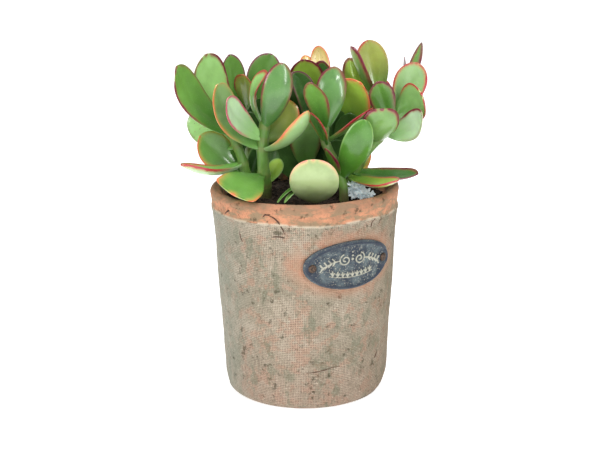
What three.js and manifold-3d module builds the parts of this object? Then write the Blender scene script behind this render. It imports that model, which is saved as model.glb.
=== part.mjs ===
// A jade plant (Crassula ovata) growing in a tapered clay pot with an oval label plate.
// Millimetres, +Z up. The origin is the middle of the pot's flat underside, and -Y is the front.
import * as THREE from "three";
import { mergeVertices } from "three/addons/utils/BufferGeometryUtils.js";
import Module from "manifold-3d";

const wasm = await Module();
wasm.setup();

// ---------------------------------------------------------------- driving dimensions
const GAP = 0.35; // clearance left between pieces that touch

const POT = {
  height: 158,
  footRadius: 59.5,
  rimRadius: 69.5,
  wall: 7,
  floor: 9,
  footCorner: 5, // rounding where the wall meets the underside
  lip: 3.5, // rounding of the rim
  clothTop: 144, // the pressed cloth coat ends here, below a bare clay band
  clothProud: 0.8, // how far the coat stands out of the clay
  sides: 56,
};

const SOIL = { top: 149, dome: 3, sides: 40 };

const PLATE = {
  length: 72,
  height: 36,
  thickness: 2.2,
  rimWidth: 3,
  rimProud: 0.9,
  azimuth: 29, // degrees round from the front, towards +X
  level: 113, // height of its middle
  sides: 44,
};

const NAIL = { spacing: 59, headRadius: 3.2, headHeight: 1.5, shankRadius: 1.1, length: 6.5, sides: 14 };

const LICHEN = {
  size: 9.5,
  thickness: 1.2,
  foot: 2.4, // how far its root reaches below the middle of the fan
  lobes: 7,
  wave: 0.14, // how far a lobe stands out, as a share of the size
  start: 10, // degrees of the fan
  spread: 200,
  tilt: 62,
  turn: 14,
  right: 47.5, // its place on the soil
  forward: 15,
  lift: 4,
};

const LEAF = {
  widest: 0.62, // where a blade is widest, as a share of its length
  neck: 0.2, // width at the stem, as a share of the widest
  thickness: 0.15, // of its width, plus plump
  plump: 0.9,
  cup: 0.07, // how far the margins rise towards the upper face, as a share of the width
  upper: 0.36, // share of the thickness above the margins
};
const BLADE_STATIONS = [0, 0.13, 0.3, 0.47, 0.62, 0.77, 0.89, 0.965];

const STEM_SIDES = 8;
const STEM_STEPS = 8;

// ---------------------------------------------------------------- the shoots
// Each shoot is a stem on a path from inside the soil to its growing tip, with its leaves. A leaf
// leaves the stem at height `z`, ends at `tip`, is `width` wide, and its upper face looks along
// `faces`. `curl` is the sag of its midline away from that face, as a share of its length, `cup` lifts
// its margins, and `plump` below 1 makes it thin.
const SHOOTS = [
  {
    name: "left",
    girth: [5.4, 4],
    path: [[-40, 8, 134], [-43, 0, 160], [-47, -3, 180], [-57, -2, 204]],
    leaves: [
      { z: 199, tip: [-90, -18, 251], width: 25, faces: [0.8, -0.8, 0.6], curl: 0.15 },
      { z: 202, tip: [-72, 6, 256], width: 28, faces: [0.9, -1, 0.2], curl: 0.17 },
      { z: 175, tip: [-90, -34, 182], width: 20, faces: [0.1, 0.1, 1], curl: 0.12, cup: 0.16 },
      { z: 166, tip: [-79, -8, 199], width: 24, faces: [0.4, -1, 0.3], curl: 0.08 },
      { z: 188, tip: [-86, 43, 200], width: 22, faces: [0.2, -1, 0.3], curl: 0.08 },
    ],
  },
  {
    name: "front_left",
    girth: [6.6, 4.4],
    path: [[-29, 0, 134], [-30, -8, 165], [-31, -11, 188], [-29, -11, 207]],
    leaves: [
      { z: 189, tip: [-63, -28, 240], width: 26, faces: [0.7, -0.7, 0.5], curl: 0.16 },
      { z: 196, tip: [-55, -46, 233], width: 21, faces: [0.5, -0.8, 0.5], curl: 0.1 },
      { z: 204, tip: [-26, -2, 246], width: 15, faces: [1, -0.25, 0.1], curl: 0.16 },
      { z: 206, tip: [-18, -24, 253], width: 22, faces: [0.1, 1, 0.2], curl: 0.06 },
      { z: 194, tip: [-7, 14, 217], width: 22, faces: [-0.4, -0.8, 0.4], curl: 0.06 },
      { z: 188, tip: [3, -36, 222], width: 20, faces: [-0.5, 0.6, 0.8], curl: 0.16 },
      { z: 168, tip: [-53, -61, 165], width: 40, faces: [-0.1, -0.35, 1], curl: 0.02, plump: 0.5 },
      { z: 160, tip: [-18, 2, 177], width: 10, faces: [-0.3, -1, 0.2], curl: 0.05 },
    ],
  },
  {
    name: "centre",
    girth: [4.6, 3.9],
    path: [[27, -16, 134], [29, -19, 156], [24, -17, 176], [16, -13, 192], [15, -11, 205]],
    leaves: [
      { z: 203, tip: [5, -32, 242], width: 16, faces: [-0.4, -0.9, 0.3], curl: 0.06 },
      { z: 204, tip: [23, -4, 248], width: 20, faces: [0.2, 1, 0], curl: 0.06 },
      { z: 191, tip: [5, -29, 219], width: 16, faces: [-0.6, -0.5, 0.5], curl: 0.05 },
      { z: 194, tip: [50, -28, 222], width: 16, faces: [-0.5, 0.4, 0.8], curl: 0.05 },
      { z: 170, tip: [16, -41, 195], width: 12, faces: [0.6, 0.3, 1], curl: 0.02 },
    ],
  },
  {
    name: "sprout",
    girth: [3.4, 2.8],
    path: [[8, -15, 134], [8, -19, 150], [7, -23, 161]],
    leaves: [{ z: 159, tip: [4, -51, 189], width: 36, faces: [0, 0.8, 0.6], curl: 0.2 }],
  },
  {
    name: "right",
    girth: [4.8, 3.7],
    path: [
      [37, -2, 134],
      [35, -7, 158],
      [38, -9, 170],
      [46, -9, 184],
      [55, -8, 194],
      [66, -4, 206],
      [72, 6, 216],
    ],
    leaves: [
      { z: 172, tip: [84, -24, 171], width: 19, faces: [0, 0.15, 1], curl: 0.08, cup: 0.14 },
      { z: 166, tip: [68, -57, 177], width: 18, faces: [0, -0.3, 1], curl: 0.08, cup: 0.14 },
      { z: 176, tip: [41, -38, 214], width: 22, faces: [0.1, 1, 0.3], curl: 0.1 },
      { z: 194, tip: [58, -33, 222], width: 26, faces: [-0.1, 0.8, 0.6], curl: 0.12 },
      { z: 199, tip: [86, -47, 221], width: 20, faces: [-0.4, -0.5, 0.8], curl: 0.14 },
      { z: 205, tip: [58, -16, 240], width: 20, faces: [0.1, -1, 0.4], curl: 0.12 },
      { z: 208, tip: [89, -27, 232], width: 26, faces: [-0.2, -0.7, 0.7], curl: 0.16 },
      { z: 211, tip: [81, 4, 249], width: 25, faces: [-0.3, -1, 0.2], curl: 0.08 },
      { z: 216, tip: [89, 36, 256], width: 14, faces: [-1, -0.3, 0.1], curl: 0.14 },
      { z: 212, tip: [92, 36, 226], width: 10, faces: [0.4, -0.9, 0.2], curl: 0.06 },
    ],
  },
  {
    name: "back_right",
    girth: [5.6, 4],
    path: [[31, 24, 134], [37, 22, 180], [47, 18, 205], [56, 14, 220]],
    leaves: [
      { z: 204, tip: [34, 30, 248], width: 17, faces: [0.3, -1, 0], curl: 0.06 },
      { z: 219, tip: [36, 0, 262], width: 17, faces: [1, 0.1, 0.3], curl: 0.04 },
      { z: 219, tip: [48, 26, 262], width: 24, faces: [-0.3, -1, 0.1], curl: 0.08 },
      { z: 198, tip: [46, -15, 241], width: 27, faces: [0.3, -0.9, 0.3], curl: 0.08 },
      { z: 205, tip: [60, 56, 226], width: 22, faces: [-0.4, -0.8, 0.5], curl: 0.1 },
      { z: 190, tip: [78, 46, 206], width: 22, faces: [-0.3, -0.2, 1], curl: 0.12 },
    ],
  },
  {
    name: "back_left",
    girth: [5.6, 4],
    path: [[-40, 32, 134], [-42, 29, 180], [-42, 26, 202], [-40, 25, 213]],
    leaves: [
      { z: 209, tip: [-56, 25, 252], width: 18, faces: [0.8, -1, 0.1], curl: 0.12 },
      { z: 206, tip: [-45, 14, 239], width: 16, faces: [-0.6, -0.7, 0.3], curl: 0.06 },
      { z: 211, tip: [-26, 30, 251], width: 25, faces: [0, -1, 0.15], curl: 0.06 },
      { z: 196, tip: [-62, 58, 230], width: 22, faces: [0.4, -0.8, 0.5], curl: 0.1 },
      { z: 180, tip: [-82, 50, 194], width: 22, faces: [0.3, -0.2, 1], curl: 0.12 },
    ],
  },
  {
    name: "back_centre",
    girth: [6, 4],
    path: [[0, 34, 134], [2, 30, 180], [6, 27, 203], [12, 28, 220]],
    leaves: [
      { z: 195, tip: [-12, -2, 246], width: 18, faces: [-0.7, -0.6, 0], curl: 0.05 },
      { z: 211, tip: [-1, 13, 250], width: 26, faces: [-0.1, -1, 0.2], curl: 0.08 },
      { z: 218, tip: [11, 48, 254], width: 20, faces: [-0.6, -1, 0.2], curl: 0.13 },
      { z: 219, tip: [24, 12, 241], width: 14, faces: [-0.3, -1, 0], curl: 0.06 },
      { z: 162, tip: [0, -13, 211], width: 22, faces: [0, -1, 0.1], curl: 0.08 },
      { z: 180, tip: [-16, 74, 206], width: 24, faces: [0.1, -0.6, 0.8], curl: 0.14 },
    ],
  },
];

// ---------------------------------------------------------------- materials
function finish(color, roughness, metalness = 0) {
  return new THREE.MeshStandardMaterial({ color, roughness, metalness });
}


const CLAY = finish(0xb9a48c, 0.92);
const EARTH = finish(0x2a2420, 1);
const PLATE_METAL = finish(0x74838c, 0.6, 0.3);
const RUST = finish(0x6b4a36, 0.8, 0.3);
const GREEN_STEM = finish(0x6f9c46, 0.55);
const GREEN_LEAF = finish(0x6c9a4c, 0.35);
const LICHEN_GREY = finish(0xb4c4c8, 0.9);

// ---------------------------------------------------------------- helpers
const vec = (point) => new THREE.Vector3(...point);
const radians = THREE.MathUtils.degToRad;

function mesh(name, geometry, material) {
  const made = new THREE.Mesh(geometry, material);
  made.name = name;
  return made;
}

// A solid skinned over closed rings of points, all with the same count, ended by a point each side.
function skin(start, rings, end) {
  const points = [start, ...rings.flat(), end];
  const sides = rings[0].length;
  const last = points.length - 1;
  const faces = [];
  const at = (ring, side) => 1 + ring * sides + (side % sides);
  for (let side = 0; side < sides; side++) {
    faces.push(0, at(0, side + 1), at(0, side));
    for (let ring = 0; ring + 1 < rings.length; ring++) {
      faces.push(at(ring, side), at(ring, side + 1), at(ring + 1, side));
      faces.push(at(ring, side + 1), at(ring + 1, side + 1), at(ring + 1, side));
    }
    faces.push(last, at(rings.length - 1, side), at(rings.length - 1, side + 1));
  }
  const geometry = new THREE.BufferGeometry().setFromPoints(points);
  geometry.setIndex(faces);
  return geometry;
}

function solidOf(geometry) {
  const bare = new THREE.BufferGeometry();
  bare.setAttribute("position", geometry.getAttribute("position").clone());
  bare.setIndex(geometry.index);
  const merged = mergeVertices(bare, 1e-3);
  const vertProperties = new Float32Array(merged.attributes.position.array);
  return new wasm.Manifold(
    new wasm.Mesh({ numProp: 3, vertProperties, triVerts: new Uint32Array(merged.index.array) }),
  );
}

function geometryOf(solid) {
  const { numProp, vertProperties, triVerts } = solid.getMesh();
  const positions = new Float32Array((vertProperties.length / numProp) * 3);
  for (let i = 0; i < positions.length / 3; i++)
    positions.set(vertProperties.subarray(i * numProp, i * numProp + 3), i * 3);
  const geometry = new THREE.BufferGeometry();
  geometry.setAttribute("position", new THREE.BufferAttribute(positions, 3));
  geometry.setIndex(new THREE.BufferAttribute(triVerts, 1));
  return geometry;
}

function without(geometry, cutters) {
  return geometryOf(cutters.reduce((rest, cutter) => rest.subtract(solidOf(cutter)), solidOf(geometry)));
}

// A profile of [radius, height] pairs turned round the Z axis.
function turned(profile, sides) {
  const outline = profile.map(([radius, height]) => new THREE.Vector2(radius, height));
  return new THREE.LatheGeometry(outline, sides).rotateX(Math.PI / 2);
}

// ---------------------------------------------------------------- the pot
const slope = (POT.rimRadius - POT.footRadius) / POT.height;
const clayRadius = (height) => POT.footRadius + slope * height;
const clothRadius = (height) => clayRadius(height) + POT.clothProud;
const boreRadius = (height) => clayRadius(height) - POT.wall;

// Points of a quarter round from angle `from` to `to`, in degrees, about a centre in the profile.
function roundOff([radius, height], size, from, to, steps) {
  return Array.from({ length: steps + 1 }, (_, i) => {
    const angle = radians(from + ((to - from) * i) / steps);
    return [radius + size * Math.cos(angle), height + size * Math.sin(angle)];
  });
}

function potGeometry() {
  const { height, floor, lip, footCorner, clothTop } = POT;
  const footCentre = [clothRadius(footCorner) - footCorner, footCorner];
  const lipCentre = [clayRadius(height) - lip, height - lip];
  const inner = boreRadius(height);
  return turned(
    [
      [0, 0],
      ...roundOff(footCentre, footCorner, -90, 0, 4),
      [clothRadius(clothTop * 0.5), clothTop * 0.5],
      [clothRadius(clothTop - 2), clothTop - 2],
      [clayRadius(clothTop), clothTop],
      ...roundOff(lipCentre, lip, 0, 90, 3),
      ...roundOff([inner + lip * 0.9, height - lip], lip * 0.9, 100, 180, 2),
      [boreRadius(floor + 6), floor + 6],
      [boreRadius(floor) - 5, floor],
      [0, floor],
    ],
    POT.sides,
  );
}

// A point on the pot's coat: `along` mm round from azimuth `from`, at a height, `out` mm proud of it.
function onPot(from, along, height, out) {
  const radius = clothRadius(height) + out;
  const azimuth = radians(from) + along / clothRadius(PLATE.level);
  return new THREE.Vector3(radius * Math.sin(azimuth), -radius * Math.cos(azimuth), height - slope * out);
}

// ---------------------------------------------------------------- the label plate and its nails
// The plate is turned as a flat dish, then laid round the pot's coat.
function plateGeometry() {
  const { length, height, thickness, rimWidth, rimProud, azimuth, level, sides } = PLATE;
  const rim = 1 - rimWidth / (height / 2);
  const dish = turned(
    [
      ...[0, 0.25, 0.5, 0.75, 1].map((share) => [share, 0]),
      [1, thickness], [0.97, thickness + rimProud], [rim + 0.05, thickness + rimProud],
      ...[rim, 0.6, 0.3, 0].map((share) => [share, thickness]),
    ],
    sides,
  );
  const places = dish.getAttribute("position");
  for (let i = 0; i < places.count; i++) {
    const along = (places.getX(i) * length) / 2;
    const up = (places.getY(i) * height) / 2;
    const { x, y, z } = onPot(azimuth, along, level + up, places.getZ(i) + GAP);
    places.setXYZ(i, x, y, z);
  }
  return dish;
}

// A nail driven square to the pot at `along` mm from the plate's middle. `grown` widens it as a cutter.
function nailGeometry(along, grown = 0) {
  const { headRadius, headHeight, shankRadius, length, sides } = NAIL;
  const seat = PLATE.thickness + 2 * GAP - grown;
  const shank = shankRadius + grown;
  const profile = [
    [0, seat - length - grown],
    [shank, seat - length - grown + shank * 0.5],
    [shank, seat],
    [headRadius + grown, seat],
    [headRadius * 0.9 + grown, seat + headHeight * 0.6],
    [headRadius * 0.5 + grown, seat + headHeight],
    [0, seat + headHeight + grown],
  ];
  const nail = turned(profile, sides);
  const root = onPot(PLATE.azimuth, along, PLATE.level, 0);
  const out = onPot(PLATE.azimuth, along, PLATE.level, 1).sub(root).normalize();
  const turn = new THREE.Quaternion().setFromUnitVectors(new THREE.Vector3(0, 0, 1), out);
  nail.applyQuaternion(turn);
  return nail.translate(root.x, root.y, root.z);
}

// ---------------------------------------------------------------- stems
function stemCurve(shoot) {
  return new THREE.CatmullRomCurve3(shoot.path.map(vec), false, "centripetal");
}

// The share along a stem's curve at which it reaches a height.
function shareAt(curve, height) {
  let low = 0;
  let high = 1;
  for (let i = 0; i < 30; i++) {
    const middle = (low + high) / 2;
    if (curve.getPoint(middle).z < height) low = middle;
    else high = middle;
  }
  return low;
}

const stemRadius = (shoot, share) => THREE.MathUtils.lerp(...shoot.girth, share);

function stemGeometry(shoot, grown = 0) {
  const curve = stemCurve(shoot);
  const rings = Array.from({ length: STEM_STEPS + 1 }, (_, step) => {
    const share = step / STEM_STEPS;
    const centre = curve.getPoint(share);
    const along = curve.getTangent(share);
    const side = new THREE.Vector3(0, 1, 0).cross(along).normalize();
    const front = along.clone().cross(side);
    const radius = stemRadius(shoot, share) + grown;
    return Array.from({ length: STEM_SIDES }, (_, k) => {
      const angle = (2 * Math.PI * k) / STEM_SIDES;
      const point = centre.clone().addScaledVector(side, radius * Math.cos(angle));
      return point.addScaledVector(front, radius * Math.sin(angle));
    });
  });
  const root = curve.getPoint(0).addScaledVector(curve.getTangent(0), -2 - grown);
  const bud = curve.getPoint(1).addScaledVector(curve.getTangent(1), 3 + grown);
  return skin(root, rings, bud);
}

// ---------------------------------------------------------------- leaves
// Half width of a blade at a share of its length, as a share of the widest.
function bladeWidth(share) {
  const { widest, neck } = LEAF;
  if (share > widest) return Math.sqrt(1 - ((share - widest) / (1 - widest)) ** 2);
  return neck + (1 - neck) * Math.sin((Math.PI / 2) * (share / widest));
}

// Thickness of a blade at a share of its length: a firm neck, full to the widest, then a thin tip.
function bladeThickness(share) {
  return share > 0.5 ? 1 - 0.75 * ((share - 0.5) / 0.5) ** 2 : 1;
}

function leafGeometry(shoot, leaf, seat) {
  const curve = stemCurve(shoot);
  const share = shareAt(curve, leaf.z);
  const node = curve.getPoint(share);
  const tip = vec(leaf.tip);
  const away = tip.clone().sub(node).projectOnPlane(curve.getTangent(share)).normalize();
  const base = node.clone().addScaledVector(away, stemRadius(shoot, share) + seat);
  const chord = tip.clone().sub(base);
  const length = chord.length();
  const up = vec(leaf.faces).projectOnPlane(chord).normalize();
  const across = up.clone().cross(chord).normalize();
  const sag = leaf.curl * length;
  const fullness = (LEAF.thickness * leaf.width + LEAF.plump) * (leaf.plump ?? 1);
  const rings = BLADE_STATIONS.map((t) => {
    const middle = base.clone().addScaledVector(chord, t).addScaledVector(up, -4 * sag * t * (1 - t));
    const along = chord.clone().addScaledVector(up, -4 * sag * (1 - 2 * t)).normalize();
    const normal = along.clone().cross(across).normalize();
    const half = (leaf.width / 2) * bladeWidth(t);
    const depth = Math.min(fullness * bladeThickness(t), 1.6 * half);
    const rise = (leaf.cup ?? LEAF.cup) * 2 * half;
    const at = (x, z) => middle.clone().addScaledVector(across, x * half).addScaledVector(normal, z);
    const top = LEAF.upper * depth;
    const under = (1 - LEAF.upper) * depth;
    return [
      at(1, rise), at(0.6, 0.75 * top + 0.3 * rise), at(0, top), at(-0.6, 0.75 * top + 0.3 * rise),
      at(-1, rise), at(-0.6, 0.3 * rise - 0.75 * under), at(0, -under), at(0.6, 0.3 * rise - 0.75 * under),
    ];
  });
  return skin(base, rings, tip);
}

// A leaf slid out along its own stalk until it stands clear of the stem.
function seatedLeaf(shoot, leaf) {
  const stem = solidOf(stemGeometry(shoot, GAP * 0.8));
  for (let seat = GAP; seat < 9; seat += 0.3) {
    const blade = leafGeometry(shoot, leaf, seat);
    if (solidOf(blade).intersect(stem).volume() < 1e-4) return blade;
  }
  throw new Error(`a leaf of the ${shoot.name} shoot lies along its stem`);
}

// ---------------------------------------------------------------- the lichen tuft
// A frilled crust standing on the soil by the right-hand stem: a scalloped fan with a wavy edge.
function lichenGeometry() {
  const steps = LICHEN.lobes * 4;
  const outline = Array.from({ length: steps + 1 }, (_, i) => {
    const angle = radians(LICHEN.start + (LICHEN.spread * i) / steps);
    const wave = LICHEN.wave * Math.cos((2 * Math.PI * LICHEN.lobes * i) / steps);
    const reach = LICHEN.size * (1 + wave);
    return new THREE.Vector2(reach * Math.cos(angle), reach * Math.sin(angle));
  });
  const foot = new THREE.Vector2(0, -LICHEN.foot);
  const fan = new THREE.Shape([...outline, foot]);
  const crust = new THREE.ExtrudeGeometry(fan, { depth: LICHEN.thickness, bevelEnabled: false, steps: 1 });
  return crust.rotateX(radians(LICHEN.tilt)).rotateZ(radians(LICHEN.turn));
}

// ---------------------------------------------------------------- assembly
const plant = new THREE.Group();

const nailPlaces = [-NAIL.spacing / 2, NAIL.spacing / 2];
const nailCutters = nailPlaces.map((along) => nailGeometry(along, GAP));

plant.add(mesh("pot", without(potGeometry(), nailCutters), CLAY));
plant.add(mesh("label_plate", without(plateGeometry(), nailCutters), PLATE_METAL));
nailPlaces.forEach((along, i) => plant.add(mesh(`label_nail_${i + 1}`, nailGeometry(along), RUST)));

const soilTop = SOIL.top;
const soil = turned(
  [
    [0, POT.floor + GAP],
    [boreRadius(POT.floor) - 5 - GAP, POT.floor + GAP],
    [boreRadius(POT.floor + 6) - GAP, POT.floor + 6 + GAP],
    [boreRadius(soilTop) - GAP, soilTop - SOIL.dome],
    [boreRadius(soilTop) * 0.8, soilTop - SOIL.dome * 0.4],
    [boreRadius(soilTop) * 0.45, soilTop - SOIL.dome * 0.1],
    [0, soilTop],
  ],
  SOIL.sides,
);
plant.add(mesh("soil", without(soil, SHOOTS.map((shoot) => stemGeometry(shoot, GAP))), EARTH));

for (const shoot of SHOOTS) {
  plant.add(mesh(`${shoot.name}_stem`, stemGeometry(shoot), GREEN_STEM));
  shoot.leaves.forEach((leaf, i) => {
    plant.add(mesh(`${shoot.name}_leaf_${i + 1}`, seatedLeaf(shoot, leaf), GREEN_LEAF));
  });
}

const lichen = mesh("lichen_tuft", lichenGeometry(), LICHEN_GREY);
lichen.position.set(LICHEN.right, -LICHEN.forward, SOIL.top + LICHEN.lift);
plant.add(lichen);

export default plant;
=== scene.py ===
"""The looks of a potted jade plant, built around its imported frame, in metres with +Z up."""

import logging
import math
from dataclasses import dataclass, replace
from enum import Enum
from typing import Any, Iterable, Sequence

import bpy
import numpy as np
from mathutils import Matrix, Vector, noise


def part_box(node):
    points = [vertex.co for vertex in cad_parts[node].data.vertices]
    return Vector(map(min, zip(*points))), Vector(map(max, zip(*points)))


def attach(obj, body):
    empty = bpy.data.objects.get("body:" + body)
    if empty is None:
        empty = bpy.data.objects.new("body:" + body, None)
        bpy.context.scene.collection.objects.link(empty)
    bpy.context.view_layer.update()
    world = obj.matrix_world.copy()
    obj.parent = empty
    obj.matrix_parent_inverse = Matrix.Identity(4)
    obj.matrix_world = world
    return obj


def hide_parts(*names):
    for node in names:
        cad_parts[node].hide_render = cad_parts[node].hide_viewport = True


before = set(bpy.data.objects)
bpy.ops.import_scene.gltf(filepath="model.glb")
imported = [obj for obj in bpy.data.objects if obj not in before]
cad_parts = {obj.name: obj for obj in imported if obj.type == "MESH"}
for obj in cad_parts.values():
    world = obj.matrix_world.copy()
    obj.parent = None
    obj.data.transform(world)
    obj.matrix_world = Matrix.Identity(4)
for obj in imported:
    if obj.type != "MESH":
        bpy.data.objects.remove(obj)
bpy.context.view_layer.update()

MM = 0.001
MERGE_GAP = 1e-6
ANY_TURN = 6.3  # the most that a random turn is, in radians
BODY = "root"
log = logging.getLogger("jade")

Colour = tuple[float, float, float, float]
Place = tuple[float, float, float]
WHITE: Colour = (1.0, 1.0, 1.0, 1.0)


# ------------------------------------------------------------------ colours and shader maths
def paint(red: int, green: int, blue: int) -> Colour:
    """Turns a paint chip's display values, 0 to 255, into the linear colour that a shader takes."""
    shares = [value / 255 for value in (red, green, blue)]
    linear = [s / 12.92 if s <= 0.04045 else ((s + 0.055) / 1.055) ** 2.4 for s in shares]
    return (*linear, 1.0)


class Signal:
    """A number that varies over a surface. Arithmetic on it adds Math nodes to its shader."""

    def __init__(self, shader: "Shader", socket: bpy.types.NodeSocket) -> None:
        """Wraps an output socket of a shader."""
        self.shader = shader
        self.socket = socket

    def math(self, operation: str, *others: Any, clamp: bool = False) -> "Signal":
        """Adds one Math node.

        Args:
            operation: The Math node's operation.
            others: Its second and third values, as numbers or signals.
            clamp: Whether the result is held between 0 and 1.

        Returns:
            The node's result.
        """
        inputs = dict(enumerate((self, *others)))
        made = self.shader.node("Math", {"operation": operation, "use_clamp": clamp}, inputs)
        return Signal(self.shader, made.outputs[0])

    def _flipped(self, operation: str, first: float) -> "Signal":
        """Adds a Math node with a plain number as its first value."""
        made = self.shader.node("Math", {"operation": operation}, {0: first, 1: self})
        return Signal(self.shader, made.outputs[0])

    def __add__(self, other: Any) -> "Signal":
        """This plus the other."""
        return self.math("ADD", other)

    def __radd__(self, other: float) -> "Signal":
        """The other plus this."""
        return self._flipped("ADD", other)

    def __sub__(self, other: Any) -> "Signal":
        """This less the other."""
        return self.math("SUBTRACT", other)

    def __rsub__(self, other: float) -> "Signal":
        """The other less this."""
        return self._flipped("SUBTRACT", other)

    def __mul__(self, other: Any) -> "Signal":
        """This times the other."""
        return self.math("MULTIPLY", other)

    def __rmul__(self, other: float) -> "Signal":
        """The other times this."""
        return self._flipped("MULTIPLY", other)

    def __truediv__(self, other: Any) -> "Signal":
        """This over the other."""
        return self.math("DIVIDE", other)

    def step(self, low: float, high: float) -> "Signal":
        """Rises smoothly from 0 at low to 1 at high, or falls from 1 to 0 where low is the larger."""
        start, end, first, last = (low, high, 0.0, 1.0) if low < high else (high, low, 1.0, 0.0)
        made = self.shader.node(
            "MapRange",
            {"interpolation_type": "SMOOTHSTEP"},
            {"Value": self, "From Min": start, "From Max": end, "To Min": first, "To Max": last},
        )
        return Signal(self.shader, made.outputs[0])

    def within(self, middle: float, reach: float) -> "Signal":
        """Is 1 at a middle value and falls smoothly to 0 a reach away on both sides."""
        return (self - middle).math("ABSOLUTE").step(reach, 0.0)


class Shader:
    """A node material of one finish, with one Principled surface."""

    def __init__(self, name: str, roughness: float, **constants: Any) -> None:
        """Starts a material.

        Args:
            name: The material's name.
            roughness: The surface's roughness where nothing varies it.
            constants: Values of the surface's own sockets, with _ for a blank in their names.
        """
        self.material = bpy.data.materials.new(name)
        self.material.use_nodes = True
        self.tree = self.material.node_tree
        self.tree.nodes.clear()
        self.surface = self.node("BsdfPrincipled", {}, {"Roughness": roughness})
        for socket, value in constants.items():
            self.surface.inputs[socket.replace("_", " ")].default_value = value
        self.node("OutputMaterial", {}, {"Surface": self.surface.outputs[0]})
        self.place = self.node("TexCoord").outputs["Object"]

    def node(self, kind: str, settings: dict | None = None, inputs: dict | None = None) -> bpy.types.Node:
        """Adds a node.

        Args:
            kind: The node's type, without its ShaderNode prefix.
            settings: Its properties, set before its sockets.
            inputs: Values, signals or sockets by input name or number.

        Returns:
            The new node.
        """
        made = self.tree.nodes.new("ShaderNode" + kind)
        for key, value in (settings or {}).items():
            setattr(made, key, value)
        for key, value in (inputs or {}).items():
            self._feed(made.inputs[key], value)
        return made

    def _feed(self, socket: bpy.types.NodeSocket, value: Any) -> None:
        """Links or sets one input socket."""
        source = value.socket if isinstance(value, Signal) else value
        if isinstance(source, bpy.types.NodeSocket):
            self.tree.links.new(source, socket)
        else:
            socket.default_value = source

    def attribute(self, name: str) -> Signal:
        """Reads a number that a piece's mesh carries."""
        return Signal(self, self.node("Attribute", {"attribute_name": name}).outputs["Fac"])

    def axes(self) -> tuple[Signal, Signal, Signal]:
        """Splits the surface point into its X, Y and Z."""
        split = self.node("SeparateXYZ", {}, {0: self.place})
        return tuple(Signal(self, socket) for socket in split.outputs)

    def stretched(self, scale: Sequence[float]) -> bpy.types.NodeSocket:
        """Scales the surface point on each axis, for a pattern that is longer one way."""
        return self.node("Mapping", {}, {"Vector": self.place, "Scale": tuple(scale)}).outputs[0]

    def grain(self, size: float, detail: float = 3.0, rough: float = 0.55, where: Any = None) -> Signal:
        """Adds cloudy noise.

        Args:
            size: The width of one cloud in metres.
            detail: How many finer layers it has.
            rough: How strong the finer layers are.
            where: The point it is read at, or None for the surface point.

        Returns:
            The noise, about 0.5 on average.
        """
        inputs = {"Vector": where or self.place, "Scale": 1 / size, "Detail": detail, "Roughness": rough}
        return Signal(self, self.node("TexNoise", {}, inputs).outputs["Fac"])

    def cells(self, size: float) -> Signal:
        """The distance to the nearest of scattered points, in cells of a size in metres."""
        made = self.node("TexVoronoi", {}, {"Vector": self.place, "Scale": 1 / size})
        return Signal(self, made.outputs["Distance"])

    def mix(self, share: Any, first: Any, second: Any) -> bpy.types.NodeSocket:
        """Blends two colours.

        Args:
            share: How much of the second shows, as a number or signal.
            first: A colour or colour socket.
            second: A colour or colour socket.

        Returns:
            The mixed colour's socket.
        """
        return self.node("Mix", {"data_type": "RGBA"}, {0: share, 6: first, 7: second}).outputs[2]

    def finish(self, colour: Any, height: Any = None, relief: float = 0.0) -> bpy.types.Material:
        """Connects the finished look.

        Args:
            colour: The base colour, as a colour or a socket.
            height: A signal that raises the surface, or None.
            relief: How high a height of 1 stands, in metres.

        Returns:
            The material.
        """
        self._feed(self.surface.inputs["Base Color"], colour)
        if height is not None:
            bump = self.node("Bump", {}, {"Height": height, "Strength": 1.0, "Distance": relief})
            self._feed(self.surface.inputs["Normal"], bump.outputs[0])
        return self.material


# ------------------------------------------------------------------ meshes
def points_of(piece: bpy.types.Object) -> np.ndarray:
    """Reads a mesh piece's points as rows of x, y, z."""
    flat = np.empty(len(piece.data.vertices) * 3)
    piece.data.vertices.foreach_get("co", flat)
    return flat.reshape(-1, 3)


def move_points(piece: bpy.types.Object, points: np.ndarray) -> None:
    """Puts a mesh piece's points where the rows say."""
    piece.data.vertices.foreach_set("co", np.ascontiguousarray(points, dtype=float).ravel())
    piece.data.update()


def carry(piece: bpy.types.Object, **values: np.ndarray) -> None:
    """Gives a mesh piece numbers at its points, for its material to read."""
    for name, numbers in values.items():
        layer = piece.data.attributes.new(name, "FLOAT", "POINT")
        layer.data.foreach_set("value", np.ascontiguousarray(numbers, dtype=float))


def clear_selection() -> None:
    """Deselects every object."""
    bpy.ops.object.select_all(action="DESELECT")


def copy_of(blank: bpy.types.Object, name: str) -> bpy.types.Object:
    """Copies a modelled piece with a mesh of its own."""
    made = blank.copy()
    made.data = blank.data.copy()
    made.name = made.data.name = name
    bpy.context.collection.objects.link(made)
    return made


def ball(name: str, segments: int, rings: int) -> tuple[bpy.types.Object, np.ndarray, np.ndarray]:
    """Adds a smooth ball that long pieces are bent from.

    Args:
        name: The ball's name.
        segments: How many points it has round.
        rings: How many steps it has from pole to pole.

    Returns:
        The ball, its points, and how far up from its lower pole each is, from 0 to 1.
    """
    clear_selection()
    bpy.ops.mesh.primitive_uv_sphere_add(segments=segments, ring_count=rings, radius=1.0)
    made = bpy.context.object
    made.name = name
    bpy.ops.object.shade_smooth()
    points = points_of(made)
    return made, points, np.clip((points[:, 2] + 1) / 2, 0, 1)


def outward(points: np.ndarray) -> np.ndarray:
    """Each point's level way out from the Z axis, as rows of x, y, or zeros on the axis."""
    reach = np.hypot(points[:, 0], points[:, 1])[:, None]
    return np.where(reach < MERGE_GAP, 0.0, points[:, :2] / np.maximum(reach, 1e-9))


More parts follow.
